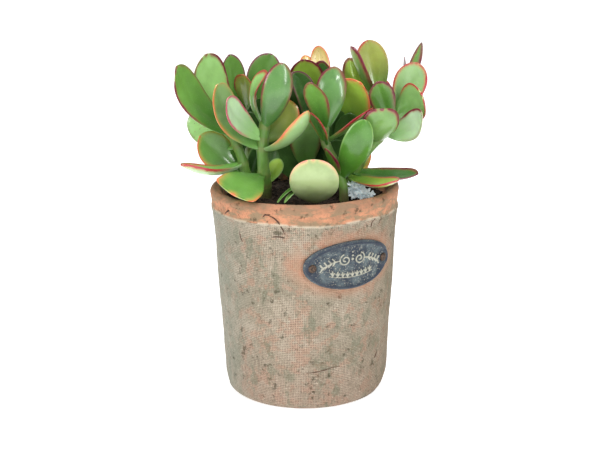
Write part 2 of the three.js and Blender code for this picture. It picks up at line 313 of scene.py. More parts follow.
def joined(name: str, parts: Sequence[bpy.types.Object]) -> bpy.types.Object:
    """Joins several mesh objects into one piece of a name."""
    clear_selection()
    for part in parts:
        part.select_set(True)
    bpy.context.view_layer.objects.active = parts[0]
    bpy.ops.object.join()
    parts[0].name = parts[0].data.name = name
    return parts[0]


def spun(name: str, profile: Sequence[tuple[float, float]], steps: int) -> bpy.types.Object:
    """Spins an open profile round the Z axis, as on a wheel.

    Args:
        name: The new object's name.
        profile: Radius and height pairs from the axis round to the axis again.
        steps: How many steps one turn has.

    Returns:
        A closed mesh object with smooth shading.
    """
    clear_selection()
    bpy.ops.mesh.primitive_circle_add(vertices=len(profile), radius=1.0)
    made = bpy.context.object
    made.name = made.data.name = name
    move_points(made, np.array([(radius, 0.0, height) for radius, height in profile]))
    bpy.ops.object.mode_set(mode="EDIT")
    bpy.ops.mesh.select_all(action="DESELECT")
    bpy.ops.object.mode_set(mode="OBJECT")
    closing = {0, len(profile) - 1}
    for edge in made.data.edges:
        edge.select = set(edge.vertices) == closing
    bpy.ops.object.mode_set(mode="EDIT")
    bpy.ops.mesh.select_mode(type="EDGE")
    bpy.ops.mesh.delete(type="EDGE_FACE")
    bpy.ops.mesh.select_all(action="SELECT")
    bpy.ops.mesh.spin(steps=steps, angle=2 * math.pi, center=(0, 0, 0), axis=(0, 0, 1), use_auto_merge=True)
    bpy.ops.mesh.select_all(action="SELECT")
    bpy.ops.mesh.remove_doubles(threshold=MERGE_GAP)
    bpy.ops.mesh.normals_make_consistent(inside=False)
    bpy.ops.object.mode_set(mode="OBJECT")
    bpy.ops.object.shade_smooth()
    return made


def settle(piece: bpy.types.Object, slot: str, material: bpy.types.Material, *nodes: str) -> None:
    """Finishes a piece: its material, its body and the nodes it stands for."""
    piece.data.materials.clear()
    piece.data.materials.append(material)
    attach(piece, BODY)
    if nodes:
        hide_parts(*nodes)
    log.info("%s: %d points", piece.name, len(piece.data.vertices))


def unit(vector: np.ndarray) -> np.ndarray:
    """Scales a vector, or each row of vectors, to a length of 1."""
    return vector / np.maximum(np.linalg.norm(vector, axis=-1, keepdims=True), 1e-12)


def seed_of(name: str) -> int:
    """A number that belongs to a name and is the same on every run."""
    return sum((place + 1) * ord(letter) for place, letter in enumerate(name)) % 9973


def rumple(points: np.ndarray, size: float, shift: float = 0.0) -> np.ndarray:
    """Cloudy noise at points, between about -1 and 1, with clouds of a size in metres."""
    return np.array([noise.noise(Vector(point) / size + Vector((shift, shift, shift))) for point in points])


def heaped(points: np.ndarray, lumps: Sequence[tuple[float, float, float]]) -> np.ndarray:
    """The height that lumps give at points, each of a cloud size, a height and a pattern's shift."""
    return sum(rumple(points, size, shift) * height for size, height, shift in lumps)


def smooth_path(knots: np.ndarray, shares: np.ndarray) -> np.ndarray:
    """Points on a smooth curve through evenly numbered knots, at shares from 0 to 1 of it."""
    padded = np.vstack([2 * knots[0] - knots[1], knots, 2 * knots[-1] - knots[-2]])
    place = np.clip(shares, 0, 1) * (len(knots) - 1)
    first = np.minimum(place.astype(int), len(knots) - 2)
    t = (place - first)[:, None]
    a, b, c, d = (padded[first + k] for k in range(4))
    return 0.5 * (2 * b + (c - a) * t + (2 * a - 5 * b + 4 * c - d) * t**2 + (3 * b - a - 3 * c + d) * t**3)


# ------------------------------------------------------------------ reading the frame's stems and leaves
@dataclass(frozen=True)
class Skin:
    """A stem or leaf solid of the frame: rings of points between a start and an end."""

    start: np.ndarray
    rings: np.ndarray
    end: np.ndarray

    @staticmethod
    def of(node: str) -> "Skin":
        """Reads a node's rings, walking from the end that lies flat in its first ring."""
        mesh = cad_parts[node].data
        spots: dict[tuple, int] = {}
        index = [spots.setdefault(tuple(round(c, 6) for c in v.co), len(spots)) for v in mesh.vertices]
        points = np.array(list(spots))
        beside: list[set[int]] = [set() for _ in spots]
        for face in mesh.polygons:
            corners = [index[v] for v in face.vertices]
            for here in corners:
                beside[here].update(corners)
        most = max(len(near) for near in beside)
        poles = [spot for spot, near in enumerate(beside) if len(near) == most]
        start = min(poles, key=lambda pole: Skin._lift(points, beside, pole))
        walk = [start]
        seen, rings = set(walk), []
        while len(seen) < len(points):
            walk = sorted({near for spot in walk for near in beside[spot]} - seen)
            seen.update(walk)
            rings.append(walk)
        return Skin(points[start], points[rings[:-1]], points[rings[-1][0]])

    @staticmethod
    def _lift(points: np.ndarray, beside: list[set[int]], pole: int) -> float:
        """How far a pole stands off the middle of the ring beside it."""
        ring = points[[spot for spot in beside[pole] if spot != pole]]
        return float(np.linalg.norm(ring.mean(0) - points[pole]))

    def centres(self) -> np.ndarray:
        """The middle of each ring."""
        return self.rings.mean(1)


# ------------------------------------------------------------------ leaf finishes
class Tone(Enum):
    """The body colours that a jade leaf takes with age and light: face, foot, which is mostly darker as
    painted shade, and underside.
    """

    FRESH = (paint(106, 156, 68), paint(70, 120, 42), paint(120, 162, 86))
    LIGHT = (paint(156, 204, 122), paint(110, 164, 74), paint(178, 212, 162))
    DEEP = (paint(68, 116, 52), paint(74, 126, 46), paint(94, 138, 74))
    OLIVE = (paint(158, 168, 76), paint(98, 132, 46), paint(146, 164, 88))
    PALE = (paint(184, 214, 170), paint(132, 178, 106), paint(190, 214, 164))
    # DARK is painted shade: the colour of leaves deep inside the plant.
    DARK = (paint(70, 108, 50), paint(56, 92, 38), paint(86, 124, 66))
    GREY = (paint(138, 174, 112), paint(98, 144, 70), paint(146, 180, 122))
    LIME = (paint(156, 190, 72), paint(104, 148, 48), paint(156, 188, 90))
    AMBER = (paint(222, 200, 130), paint(160, 170, 86), paint(218, 190, 130))
    VIVID = (paint(70, 124, 36), paint(78, 134, 42), paint(84, 140, 46))
    CREAM = (paint(160, 182, 118), paint(160, 184, 120), paint(168, 188, 132))


class Rim(Enum):
    """The colours of a leaf's margin, how wide it is in mm, and the blush inside it."""

    MAROON = (paint(112, 26, 50), 1.7, paint(150, 92, 70), 1.8)
    RED = (paint(168, 40, 52), 1.5, paint(180, 122, 70), 2.0)
    ORANGE = (paint(210, 110, 70), 1.25, paint(194, 158, 80), 3.0)
    MAUVE = (paint(122, 62, 84), 1.15, paint(130, 130, 88), 1.4)
    MAGENTA = (paint(176, 32, 88), 1.5, paint(188, 116, 116), 1.3)
    PINK = (paint(226, 142, 122), 1.2, paint(222, 190, 140), 2.2)
    PLAIN = (paint(120, 160, 84), 0.5, paint(120, 156, 80), 1.0)
    BARE = (paint(72, 106, 50), 0.4, paint(72, 106, 50), 0.8)


@dataclass(frozen=True)
class LeafFinish:
    """A waxy leaf: a body tone with painted shade towards its foot, a coloured margin, faint freckles and a
    soft bloom, darkened by painted shade where the leaf sits in shadow.
    """

    tone: Tone
    rim: Rim
    roughness: float = 0.36
    scarred: bool = False

    def material(self) -> bpy.types.Material:
        """Makes the finish, or finds it where it is made already."""
        name = f"leaf_{self.tone.name.lower()}_{self.rim.name.lower()}{'_scarred' if self.scarred else ''}"
        if name in bpy.data.materials:
            return bpy.data.materials[name]
        face, foot, under = self.tone.value
        rim, rim_width, blush, blush_width = self.rim.value
        shader = Shader(
            name,
            self.roughness,
            Coat_Weight=0.75,
            Coat_Roughness=0.17,
            Specular_IOR_Level=0.25,
            Subsurface_Weight=0.18,
            Subsurface_Radius=(0.6, 1.0, 0.25),
            Subsurface_Scale=3 * MM,
        )
        edge, along, side = (shader.attribute(word) for word in ("edge", "along", "side"))
        shade = shader.attribute("shade")
        clouds = shader.grain(16 * MM, 3.0)
        flecks = shader.cells(1.5 * MM)
        # Painted shade: the body turns to the foot colour towards the foot, mostly darker there.
        body = shader.mix(along.step(0.15, 0.75), foot, face)
        body = shader.mix(side.step(0.15, -0.15), body, under)
        body = shader.mix(clouds.step(0.38, 0.7) * 0.5, body, tuple(0.6 * c for c in face[:3]) + (1.0,))
        body = shader.mix(clouds.step(0.5, 0.2) * 0.3, body, under)
        body = shader.mix(flecks.step(0.3, 0.1) * 0.07, body, paint(206, 222, 170))
        # Painted shade: darkens the whole leaf by its shade number, for a leaf that sits in shadow.
        body = shader.mix(shade * 0.6, body, paint(36, 60, 24))
        if self.scarred:
            marks = shader.grain(3 * MM, 4.0).step(0.56, 0.62) * shader.grain(11 * MM).step(0.45, 0.6)
            body = shader.mix(marks * 0.8, body, paint(150, 112, 70))
            pits = shader.grain(1.6 * MM, 2.0).step(0.66, 0.72)
            body = shader.mix(pits * 0.8, body, paint(104, 66, 44))
        reach = edge + (shader.grain(5 * MM, 3.0) - 0.5) * (1.4 * rim_width)
        old = shader.attribute("rim")
        glow = reach.step(rim_width + blush_width, rim_width * 0.6) * old
        body = shader.mix(glow * 0.75, body, blush)
        line = reach.step(rim_width * 1.25, rim_width * 0.55) * old
        fade = shader.grain(22 * MM, 1.0).step(0.34, 0.5) * 0.4 + 0.58
        body = shader.mix(line * fade, body, rim)
        ripple = shader.grain(6 * MM, 2.0) * 0.7 + flecks.step(0.3, 0.0) * 0.05
        return shader.finish(body, ripple, 0.3 * MM)


# ------------------------------------------------------------------ leaves
NECK = 0.2
WIDEST = 0.62
UPPER_SHARE = 0.36
MIDDLE_RING, WIDEST_RING = 3, 4
MIDDLE_STATION = 0.47
SMALL_CUP = 0.07
SMALL_DEPTH_SHARE = 0.15
SMALL_DEPTH_LEAST = 0.9 * MM


@dataclass(frozen=True)
class LeafSection:
    """One ring of a leaf, measured."""

    centre: np.ndarray
    normal: np.ndarray
    width: float
    depth: float
    rise: float

    @staticmethod
    def of(ring: np.ndarray) -> "LeafSection":
        """Measures a ring by its two margins and the crowns of its faces between them."""
        gaps = np.linalg.norm(ring[:, None] - ring[None], axis=2)
        one, other = np.unravel_index(gaps.argmax(), gaps.shape)
        width = gaps[one, other]
        across = (ring[one] - ring[other]) / width
        margin = (ring[one] + ring[other]) / 2
        rest = [k for k in range(len(ring)) if k not in (one, other)]
        crown = sorted(rest, key=lambda k: abs((ring[k] - margin) @ across))[:2]
        under, top = sorted(crown, key=lambda k: -np.linalg.norm(ring[k] - margin))
        normal = ring[top] - ring[under]
        depth = float(np.linalg.norm(normal))
        normal = normal / depth
        centre = ring[under] + normal * (1 - UPPER_SHARE) * depth
        return LeafSection(centre, normal, width, depth, float((margin - centre) @ normal))


@dataclass(frozen=True)
class LeafForm:
    """The pose and size of one leaf."""

    base: np.ndarray
    tip: np.ndarray
    width: float
    up: np.ndarray
    sag: np.ndarray
    cup: float
    depth: float

    @staticmethod
    def of(node: str) -> "LeafForm":
        """Measures a leaf of the frame."""
        skin = Skin.of(node)
        chord = skin.end - skin.start
        middle, widest = (LeafSection.of(skin.rings[ring]) for ring in (MIDDLE_RING, WIDEST_RING))
        t = MIDDLE_STATION
        sag = (skin.start + chord * t - middle.centre) / (4 * t * (1 - t))
        up = unit(middle.normal - chord * (middle.normal @ chord) / (chord @ chord))
        return LeafForm(skin.start, skin.end, widest.width, up, sag, widest.rise / widest.width, middle.depth)

    @staticmethod
    def posed(base: np.ndarray, tip: np.ndarray, width: float, faces: np.ndarray, curl: float) -> "LeafForm":
        """Poses a new leaf from its foot, tip, width, the way its upper face looks, and its curl."""
        chord = tip - base
        up = unit(faces - chord * (faces @ chord) / (chord @ chord))
        sag = up * curl * np.linalg.norm(chord)
        return LeafForm(base, tip, width, up, sag, SMALL_CUP, SMALL_DEPTH_SHARE * width + SMALL_DEPTH_LEAST)


@dataclass(frozen=True)
class LeafStyle:
    """How one leaf differs from the plain blade.

    Attributes:
        tone: Its body colour.
        rim: Its margin.
        wide: Its width against the frame's.
        lean: How far its middle bows sideways, in mm.
        cup: How much more its margins rise than the frame's, as a share of its width.
        wave: How far its margins wave, in mm.
        shade: How much darker it is painted, as painted shade where it sits in shadow, 0 to 1.
        thin: Its thickness against the frame's.
        notch: The depth of a dent beside its tip, in mm.
        scarred: Whether it has dry marks.
        full: How soon it widens from the foot, 1 as in the frame and less for sooner.
        blunt: How square its tip is, 2 for round.
        widest: Where it is widest, as a share of its length.
        rim_from: Where its coloured margin begins, as a share of its length.
        rim_left: How strong the margin is on the left, seen on the upper face with the tip up.
        rim_right: How strong it is on the right.
        rim_wide: How wide it is against other leaves.
        foot: Where it grows from, in mm, where that differs from the frame.
        end: Where its tip is, in mm, where that differs from the frame.
        faces: The way its upper face looks, where that differs from the frame.
        curl: The sag of its middle away from that face, as a share of its length.
    """

    tone: Tone = Tone.FRESH
    rim: Rim = Rim.RED
    wide: float = 1.0
    lean: float = 0.0
    cup: float = 0.0
    wave: float = 0.5
    shade: float = 0.0
    thin: float = 0.85
    notch: float = 0.0
    scarred: bool = False
    full: float = 0.85
    blunt: float = 2.0
    widest: float = WIDEST
    rim_from: float = 0.18
    rim_left: float = 1.0
    rim_right: float = 1.0
    rim_wide: float = 1.0
    foot: Place | None = None
    end: Place | None = None
    faces: Place | None = None
    curl: float | None = None

    def posed(self, form: LeafForm) -> LeafForm:
        """Gives a leaf of the frame this style's own pose where it has one."""
        base = form.base if self.foot is None else np.array(self.foot) * MM
        tip = form.tip if self.end is None else np.array(self.end) * MM
        faces = form.up if self.faces is None else np.array(self.faces, float)
        made = LeafForm.posed(base, tip, form.width, faces, self.curl or 0.0)
        sag = form.sag if self.curl is None else made.sag
        return replace(made, sag=sag, cup=form.cup, depth=form.depth)

    def finish(self) -> LeafFinish:
        """The finish that the leaf wears."""
        return LeafFinish(self.tone, self.rim, scarred=self.scarred)


def blade_width(t: np.ndarray, style: LeafStyle) -> np.ndarray:
    """Half width along a blade as a share of its widest, at shares of its length."""
    rising = NECK + (1 - NECK) * np.sin(math.pi / 2 * np.clip(t / style.widest, 0, 1)) ** style.full
    beyond = np.clip((t - style.widest) / (1 - style.widest), 0, 1)
    falling = (1 - beyond**style.blunt) ** (1 / style.blunt)
    return np.where(t < style.widest, rising, falling)


class Blade:
    """The blank that every leaf is bent from, modelled once.

    Attributes:
        SEGMENTS: How many points the blank has round.
        RINGS: How many steps it has from foot to tip.
        NOTCH_AT: Where a dent lies, as a share of the length, with NOTCH_REACH its half length.
        TIP_THINNING: How much of its thickness a leaf loses towards the tip.
        MOST_DEPTH: The most that it is thick, against half its width.
        WAVES: How many waves a margin has, with WAVE_SHIFT between one leaf's and the next's.
        GROOVE_DEPTH: The depth of the middle groove against the thickness, with GROOVE_WIDTH its width.
        LUMP_SIZE: The size of soft lumps, with LUMP_HEIGHT their height and LUMP_SHIFT their change.
        OUTLINE_STEPS: How many points measure the distance to the edge.
        RIM_GROWTH: The share of the length in which the coloured margin comes to full strength.
        RIM_BLEND: How sharply the margin changes from its left to its right strength.
    """

    SEGMENTS = 44
    RINGS = 36
    NOTCH_AT = 0.93
    NOTCH_REACH = 0.045
    TIP_THINNING = 0.72
    MOST_DEPTH = 1.6
    WAVES = 1.4
    WAVE_SHIFT = 0.37
    GROOVE_DEPTH = 0.16
    GROOVE_WIDTH = 0.22
    LUMP_SIZE = 14 * MM
    LUMP_HEIGHT = 0.35 * MM
    LUMP_SHIFT = 0.7
    OUTLINE_STEPS = 70
    RIM_GROWTH = 0.35
    RIM_BLEND = 2.5

    def __init__(self) -> None:
        """Models the blank: a ball whose poles are a leaf's foot and tip."""
        self.blank, points, self.t = ball("leaf_blank", self.SEGMENTS, self.RINGS)
        self.across, self.side = outward(points).T

    def leaf(self, name: str, form: LeafForm, style: LeafStyle) -> bpy.types.Object:
        """Bends a copy of the blank into one leaf.

        Args:
            name: The piece's name.
            form: The leaf's pose and size.
            style: How it differs from the plain blade.

        Returns:
            The leaf, with its edge distance, length share, side, shade and rim strength at its points.
        """
        piece = copy_of(self.blank, name)
        seed = seed_of(name)
        t, across, side = self.t, self.across, self.side
        chord = form.tip - form.base
        cross = unit(np.cross(form.up, chord))
        sway = cross * style.lean * MM - form.sag
        middle = form.base + chord * t[:, None] + sway * (4 * t * (1 - t))[:, None]
        along = unit(chord + sway * (4 * (1 - 2 * t))[:, None])
        normal = unit(np.cross(along, cross))
        half = self._half_width(form, style, t)
        if style.notch:
            dent = np.exp(-(((t - self.NOTCH_AT) / self.NOTCH_REACH) ** 2)) * (across > 0)
            half = half - style.notch * MM * dent * np.abs(across) ** 0.5
        thinned = np.where(t > 0.5, 1 - self.TIP_THINNING * ((t - 0.5) / 0.5) ** 2, 1)
        depth = np.minimum(form.depth * style.thin * thinned, self.MOST_DEPTH * half)
        rise = (form.cup + style.cup) * 2 * half * across**2
        phase = 2 * math.pi * (self.WAVES * t + seed * self.WAVE_SHIFT)
        wave = style.wave * MM * np.sin(phase) * across * np.abs(across) * t
        groove = self.GROOVE_DEPTH * depth * np.exp(-((across / self.GROOVE_WIDTH) ** 2)) * side.clip(0, 1)
        height = np.where(side > 0, UPPER_SHARE, 1 - UPPER_SHARE) * depth * side + rise + wave - groove
        points = middle + np.cross(normal, along) * (across * half)[:, None] + normal * height[:, None]
        lumps = rumple(points, self.LUMP_SIZE, seed * self.LUMP_SHIFT)
        points += normal * (lumps * self.LUMP_HEIGHT)[:, None]
        move_points(piece, points)
        reached = np.clip((t - style.rim_from) / self.RIM_GROWTH, 0, 1)
        blend = np.clip(across * self.RIM_BLEND + 0.5, 0, 1)
        strength = reached * (style.rim_right + (style.rim_left - style.rim_right) * blend)
        edge = self._edge_distance(form, style, half) / style.rim_wide
        carry(piece, edge=edge, along=t, side=side, shade=np.full(len(t), style.shade), rim=strength)
        return piece

    @staticmethod
    def _half_width(form: LeafForm, style: LeafStyle, t: np.ndarray) -> np.ndarray:
        """Half a leaf's width in metres, at shares of its length."""
        return form.width * style.wide / 2 * blade_width(t, style)

    def _edge_distance(self, form: LeafForm, style: LeafStyle, half: np.ndarray) -> np.ndarray:
        """How far each point of the blank, at its half width, is from the leaf's outline, in mm."""
        length = float(np.linalg.norm(form.tip - form.base))
        t = np.linspace(0, 1, self.OUTLINE_STEPS)
        wide = self._half_width(form, style, t)
        outline = np.concatenate([np.stack([way * wide, t * length], 1) for way in (-1, 1)])
        flat = np.stack([self.across * half, self.t * length], 1)
        return np.linalg.norm(flat[:, None] - outline[None], axis=2).min(1) / MM

    def done(self) -> None:
        """Removes the blank."""
        bpy.data.objects.remove(self.blank)


LEAVES: dict[str, LeafStyle] = {
    "left_leaf_1": LeafStyle(
        Tone.FRESH, Rim.MAROON, wide=1.15, notch=2.5, end=(-92.5, -18, 252), rim_right=0.4, rim_wide=0.9,
    ),
    "left_leaf_2": LeafStyle(Tone.LIGHT, Rim.MAROON, wide=1.18, blunt=2.3, rim_left=0.7, foot=(-54, 5, 203)),
    "left_leaf_3": LeafStyle(Tone.LIGHT, Rim.RED, cup=0.06),
    "left_leaf_4": LeafStyle(Tone.FRESH, Rim.ORANGE, wide=1.1, end=(-77.5, -8, 197.5), rim_right=0.3),
    "left_leaf_5": LeafStyle(
        Tone.LIGHT, Rim.MAUVE, wide=1.35, shade=0.15, scarred=True, end=(-86, 43, 203), rim_left=0.3,
        rim_right=0.3,
    ),
    "front_left_leaf_1": LeafStyle(Tone.GREY, Rim.ORANGE, wide=1.12, rim_right=0.35),
    "front_left_leaf_2": LeafStyle(Tone.PALE, Rim.MAGENTA),
    "front_left_leaf_3": LeafStyle(
        Tone.LIGHT, Rim.RED, lean=9, end=(-26.4, -14, 246), faces=(-0.8, -0.35, 0.5),
    ),
    "front_left_leaf_4": LeafStyle(
        Tone.DEEP, Rim.MAROON, lean=1.5, end=(-15.5, -18, 254), rim_left=0.5, rim_wide=0.8, shade=0.15,
        curl=0.13,
    ),
    "front_left_leaf_5": LeafStyle(
        Tone.OLIVE, Rim.ORANGE, wide=1.12, shade=0.55, faces=(0.25, -1, 0.1), curl=0.03,
    ),
    "front_left_leaf_6": LeafStyle(Tone.GREY, Rim.ORANGE, cup=0.05, rim_wide=0.8),
    "front_left_leaf_7": LeafStyle(
        Tone.FRESH, Rim.ORANGE, wide=0.84, thin=1.1, full=2.0, blunt=5.0, widest=0.86, rim_from=0.62,
        rim_wide=1.5, foot=(-31, -9, 167), end=(-51.8, -61, 166.5), faces=(0.38, -0.2, 0.9), curl=-0.05,
    ),
    "front_left_leaf_8": LeafStyle(Tone.LIME, Rim.PLAIN, wide=1.2),
    "centre_leaf_1": LeafStyle(Tone.FRESH, Rim.MAROON, wide=1.15, rim_left=0.7),
    "centre_leaf_2": LeafStyle(Tone.DEEP, Rim.MAROON, wide=1.15, rim_left=0.7, rim_from=0.4, curl=0.1),
    "centre_leaf_3": LeafStyle(Tone.DEEP, Rim.RED),
    "centre_leaf_4": LeafStyle(Tone.FRESH, Rim.RED, shade=0.3),
    "centre_leaf_5": LeafStyle(Tone.VIVID, Rim.MAROON),
    "sprout_leaf_1": LeafStyle(
        Tone.CREAM, Rim.PINK, cup=-0.06, full=0.6, blunt=2.2, thin=0.6, foot=(8, -31, 153.5),
        end=(6.3, -51, 189.5), curl=0.16, rim_from=0.6, rim_left=0.8,
    ),
    "right_leaf_1": LeafStyle(
        Tone.DEEP, Rim.MAROON, foot=(33, -8, 170), end=(84, -22, 171), faces=(0, -0.3, 1),
    ),
    "right_leaf_2": LeafStyle(Tone.LIME, Rim.RED, foot=(33, -12, 167), end=(67, -57, 174.5)),
    "right_leaf_3": LeafStyle(
        Tone.VIVID, Rim.PLAIN, shade=0.3, foot=(28, -18, 168), end=(44.6, -36, 215), curl=0.12,
    ),
    "right_leaf_4": LeafStyle(
        Tone.FRESH, Rim.MAROON, wide=1.05, shade=0.2, full=0.55, blunt=2.6, end=(56.5, -33, 222.5),
    ),
    "right_leaf_5": LeafStyle(
        Tone.PALE, Rim.MAROON, wide=1.05, end=(85, -33, 220), faces=(-0.5, -0.8, 0.3), rim_right=0.3,
    ),
    "right_leaf_6": LeafStyle(Tone.FRESH, Rim.MAROON, shade=0.15, end=(53.5, -16, 238.5)),
    "right_leaf_7": LeafStyle(
        Tone.LIGHT, Rim.RED, wide=1.1, blunt=2.5, lean=3, end=(85.5, -26, 231.5), faces=(-0.5, -0.9, 0.2),
        rim_from=0.3, shade=0.2,
    ),
    "right_leaf_8": LeafStyle(Tone.GREY, Rim.RED, end=(83.5, 4, 249), faces=(0.1, -1, 0.1)),
    "right_leaf_9": LeafStyle(
        Tone.FRESH, Rim.MAROON, end=(89, 36, 258), rim_wide=1.6, faces=(-0.8, -0.5, 0.2), curl=0.03,
    ),
    "right_leaf_10": LeafStyle(Tone.AMBER, Rim.ORANGE),
    "back_right_leaf_1": LeafStyle(Tone.LIME, Rim.MAROON),
    "back_right_leaf_2": LeafStyle(Tone.FRESH, Rim.MAROON, wide=1.35, rim_wide=1.5, faces=(0.9, 0.35, 0.3)),
    "back_right_leaf_3": LeafStyle(Tone.OLIVE, Rim.RED, faces=(0, -1, 0.1), rim_from=0.45, rim_right=0.25),
    "back_right_leaf_4": LeafStyle(
        Tone.LIME, Rim.ORANGE, wide=1.2, lean=5, foot=(35, 12, 194), end=(42, -13, 237.5),
        faces=(-0.3, -1, 0.3), curl=0.02, rim_wide=1.3,
    ),
    "back_left_leaf_1": LeafStyle(Tone.FRESH, Rim.MAUVE, wide=1.2),
    "back_left_leaf_2": LeafStyle(Tone.OLIVE, Rim.RED, wide=1.5, shade=0.25),
    "back_left_leaf_3": LeafStyle(Tone.FRESH, Rim.MAUVE, end=(-24, 30, 251.5), shade=0.3),
    "back_centre_leaf_1": LeafStyle(
        Tone.DEEP, Rim.MAUVE, wide=0.95, end=(-8, -4, 244), faces=(0.45, -1, 0.1), shade=0.2, lean=-3,
    ),
    "back_centre_leaf_2": LeafStyle(Tone.LIME, Rim.MAROON),
    "back_centre_leaf_3": LeafStyle(Tone.AMBER, Rim.ORANGE, scarred=True, wide=0.9),
    "back_centre_leaf_4": LeafStyle(Tone.DEEP, Rim.MAROON, wide=1.2, end=(15, 12, 249)),
    "back_centre_leaf_5": LeafStyle(Tone.LIGHT, Rim.MAROON, wide=1.15, end=(1, -8, 209)),
}


@dataclass(frozen=True)
class SmallLeaf:
    """A leaf that the frame leaves out: its shoot, the height it leaves the stem at, and its pose in mm."""

    shoot: str
    height: float
    tip: Place
    width: float
    faces: Place
    curl: float
    style: LeafStyle


# Leaves deep inside the plant, painted dark as painted shade: the DARK tone with a BARE margin of the same
# green, and DIM and DEEP_DIM with more painted shade.
HIDDEN = LeafStyle(Tone.DARK, Rim.BARE)
DIM = replace(HIDDEN, shade=0.3)
DEEP_DIM = replace(HIDDEN, shade=0.4)

SMALL_LEAVES = (
    SmallLeaf(
        "left", 158, (-34, 4, 188), 11, (0.3, -1, 0.1), 0.05, LeafStyle(Tone.DEEP, Rim.PLAIN, shade=0.3),
    ),
    SmallLeaf("front_left", 158, (-22, 14, 182), 14, (0.3, -1, 0.1), 0.05, HIDDEN),
    SmallLeaf("back_centre", 160, (-20, 12, 192), 18, (0.2, -1, 0.1), 0.05, LeafStyle(Tone.DARK, Rim.MAUVE)),
    SmallLeaf("right", 158, (49, 0, 182), 8, (0, -1, 0.2), 0.08, LeafStyle(Tone.OLIVE, Rim.ORANGE)),
    SmallLeaf(
        "right", 214, (76, 36, 247), 9, (-1, -0.3, 0.1), 0.05, LeafStyle(Tone.DEEP, Rim.MAROON, rim_wide=2.5),
    ),
    SmallLeaf("back_centre", 218, (1, 52, 246), 15, (0.3, -1, 0.1), 0.08, LeafStyle(Tone.AMBER, Rim.ORANGE)),
    SmallLeaf("back_right", 175, (22, 10, 205), 20, (0, -1, 0.1), 0.05, LeafStyle(Tone.DARK, Rim.MAUVE)),
    SmallLeaf("back_left", 178, (-50, 62, 206), 20, (0.2, -0.5, 1), 0.12, LeafStyle(Tone.FRESH, Rim.RED)),
    SmallLeaf(
        "back_centre", 196, (28, 66, 228), 21, (-0.3, -0.7, 0.6), 0.1, LeafStyle(Tone.FRESH, Rim.MAROON),
    ),
    SmallLeaf("back_centre", 172, (34, 66, 188), 21, (-0.2, -0.4, 1), 0.12, LeafStyle(Tone.DEEP, Rim.RED)),
    SmallLeaf("back_right", 172, (42, 66, 178), 20, (-0.3, -0.3, 1), 0.1, LeafStyle(Tone.FRESH, Rim.RED)),
    SmallLeaf("back_left", 164, (-44, 70, 172), 21, (0.1, -0.4, 1), 0.1, LeafStyle(Tone.FRESH, Rim.ORANGE)),
    SmallLeaf("back_left", 200, (-44, 54, 227), 19, (0.1, -0.9, 0.3), 0.1, LeafStyle(Tone.OLIVE, Rim.ORANGE)),
    SmallLeaf(
        "back_centre", 186, (-16, 60, 212), 20, (0.2, -0.8, 0.4), 0.1, LeafStyle(Tone.DEEP, Rim.MAROON),
    ),
    SmallLeaf("back_left", 172, (-40, 6, 212), 20, (0, -1, 0.1), 0.05, DEEP_DIM),
    SmallLeaf("back_left", 182, (-30, 8, 222), 18, (0, -1, 0.2), 0.05, DIM),
    SmallLeaf("back_centre", 160, (-9, 14, 231), 20, (0, -1, 0.2), 0.05, DEEP_DIM),
    SmallLeaf("back_right", 150, (22, 6, 190), 23, (0, -1, 0.2), 0.05, DEEP_DIM),
    SmallLeaf("back_right", 165, (33, 0, 212), 22, (0, -1, 0.2), 0.05, DIM),
    SmallLeaf("back_centre", 170, (14, 8, 214), 18, (0, -1, 0.2), 0.05, DIM),
    SmallLeaf(
        "sprout", 158, (-20, -42, 155), 4.5, (-0.6, -0.5, 1), -0.22,
        LeafStyle(Tone.VIVID, Rim.PLAIN, shade=0.5),
    ),
    SmallLeaf(
        "sprout", 156, (-15, -43, 155), 4, (-0.6, -0.5, 1), -0.2, LeafStyle(Tone.FRESH, Rim.PLAIN, shade=0.4),
    ),
    SmallLeaf("back_centre", 150, (-25, 6, 194), 22, (0.1, -1, 0.2), 0.05, DIM),
    SmallLeaf("back_centre", 150, (16, 24, 196), 22, (0, -1, 0.2), 0.05, DIM),
    SmallLeaf("back_right", 160, (22, 4, 214), 22, (0, -1, 0.2), 0.05, replace(HIDDEN, shade=0.2)),
    SmallLeaf("back_left", 188, (-30, 70, 198), 22, (0.1, -0.5, 1), 0.12, LeafStyle(Tone.LIGHT, Rim.RED)),
    SmallLeaf("back_right", 190, (34, 70, 202), 22, (-0.1, -0.5, 1), 0.12, LeafStyle(Tone.FRESH, Rim.MAROON)),
    SmallLeaf("back_centre", 166, (4, 74, 176), 22, (0.1, -0.4, 1), 0.12, LeafStyle(Tone.FRESH, Rim.RED)),
)


# ------------------------------------------------------------------ shoots
@dataclass(frozen=True)
class StemFinish:
    """A fleshy green stem with faint joints, browner and darker near the soil: woody there, with painted
    shade where it meets the soil.
    """

    woody_and_shaded_below: float = 158 * MM

    def material(self) -> bpy.types.Material:
        """Makes the stem's finish."""
        shader = Shader("stem_green", 0.42, Coat_Weight=0.15, Coat_Roughness=0.3)
        _, _, height = shader.axes()
        joint = shader.attribute("joint")
        streaks = shader.grain(2.2 * MM, 3.0, where=shader.stretched((1, 1, 0.18)))
        clouds = shader.grain(9 * MM)
        green = shader.mix(streaks, paint(68, 108, 36), paint(102, 142, 62))
        green = shader.mix(clouds.step(0.45, 0.75) * 0.4, green, paint(150, 160, 88))
        level = height + (clouds - 0.5) * (20 * MM)
        # Darker brown near the soil: woody bark with painted shade where the stem meets the soil.
        low = level.step(self.woody_and_shaded_below + 6 * MM, self.woody_and_shaded_below - 8 * MM)
        colour = shader.mix(low * 0.85, green, paint(74, 62, 42))
        colour = shader.mix(joint * 0.5, colour, paint(112, 104, 60))
        return shader.finish(colour, streaks + joint * -0.8, 0.4 * MM)


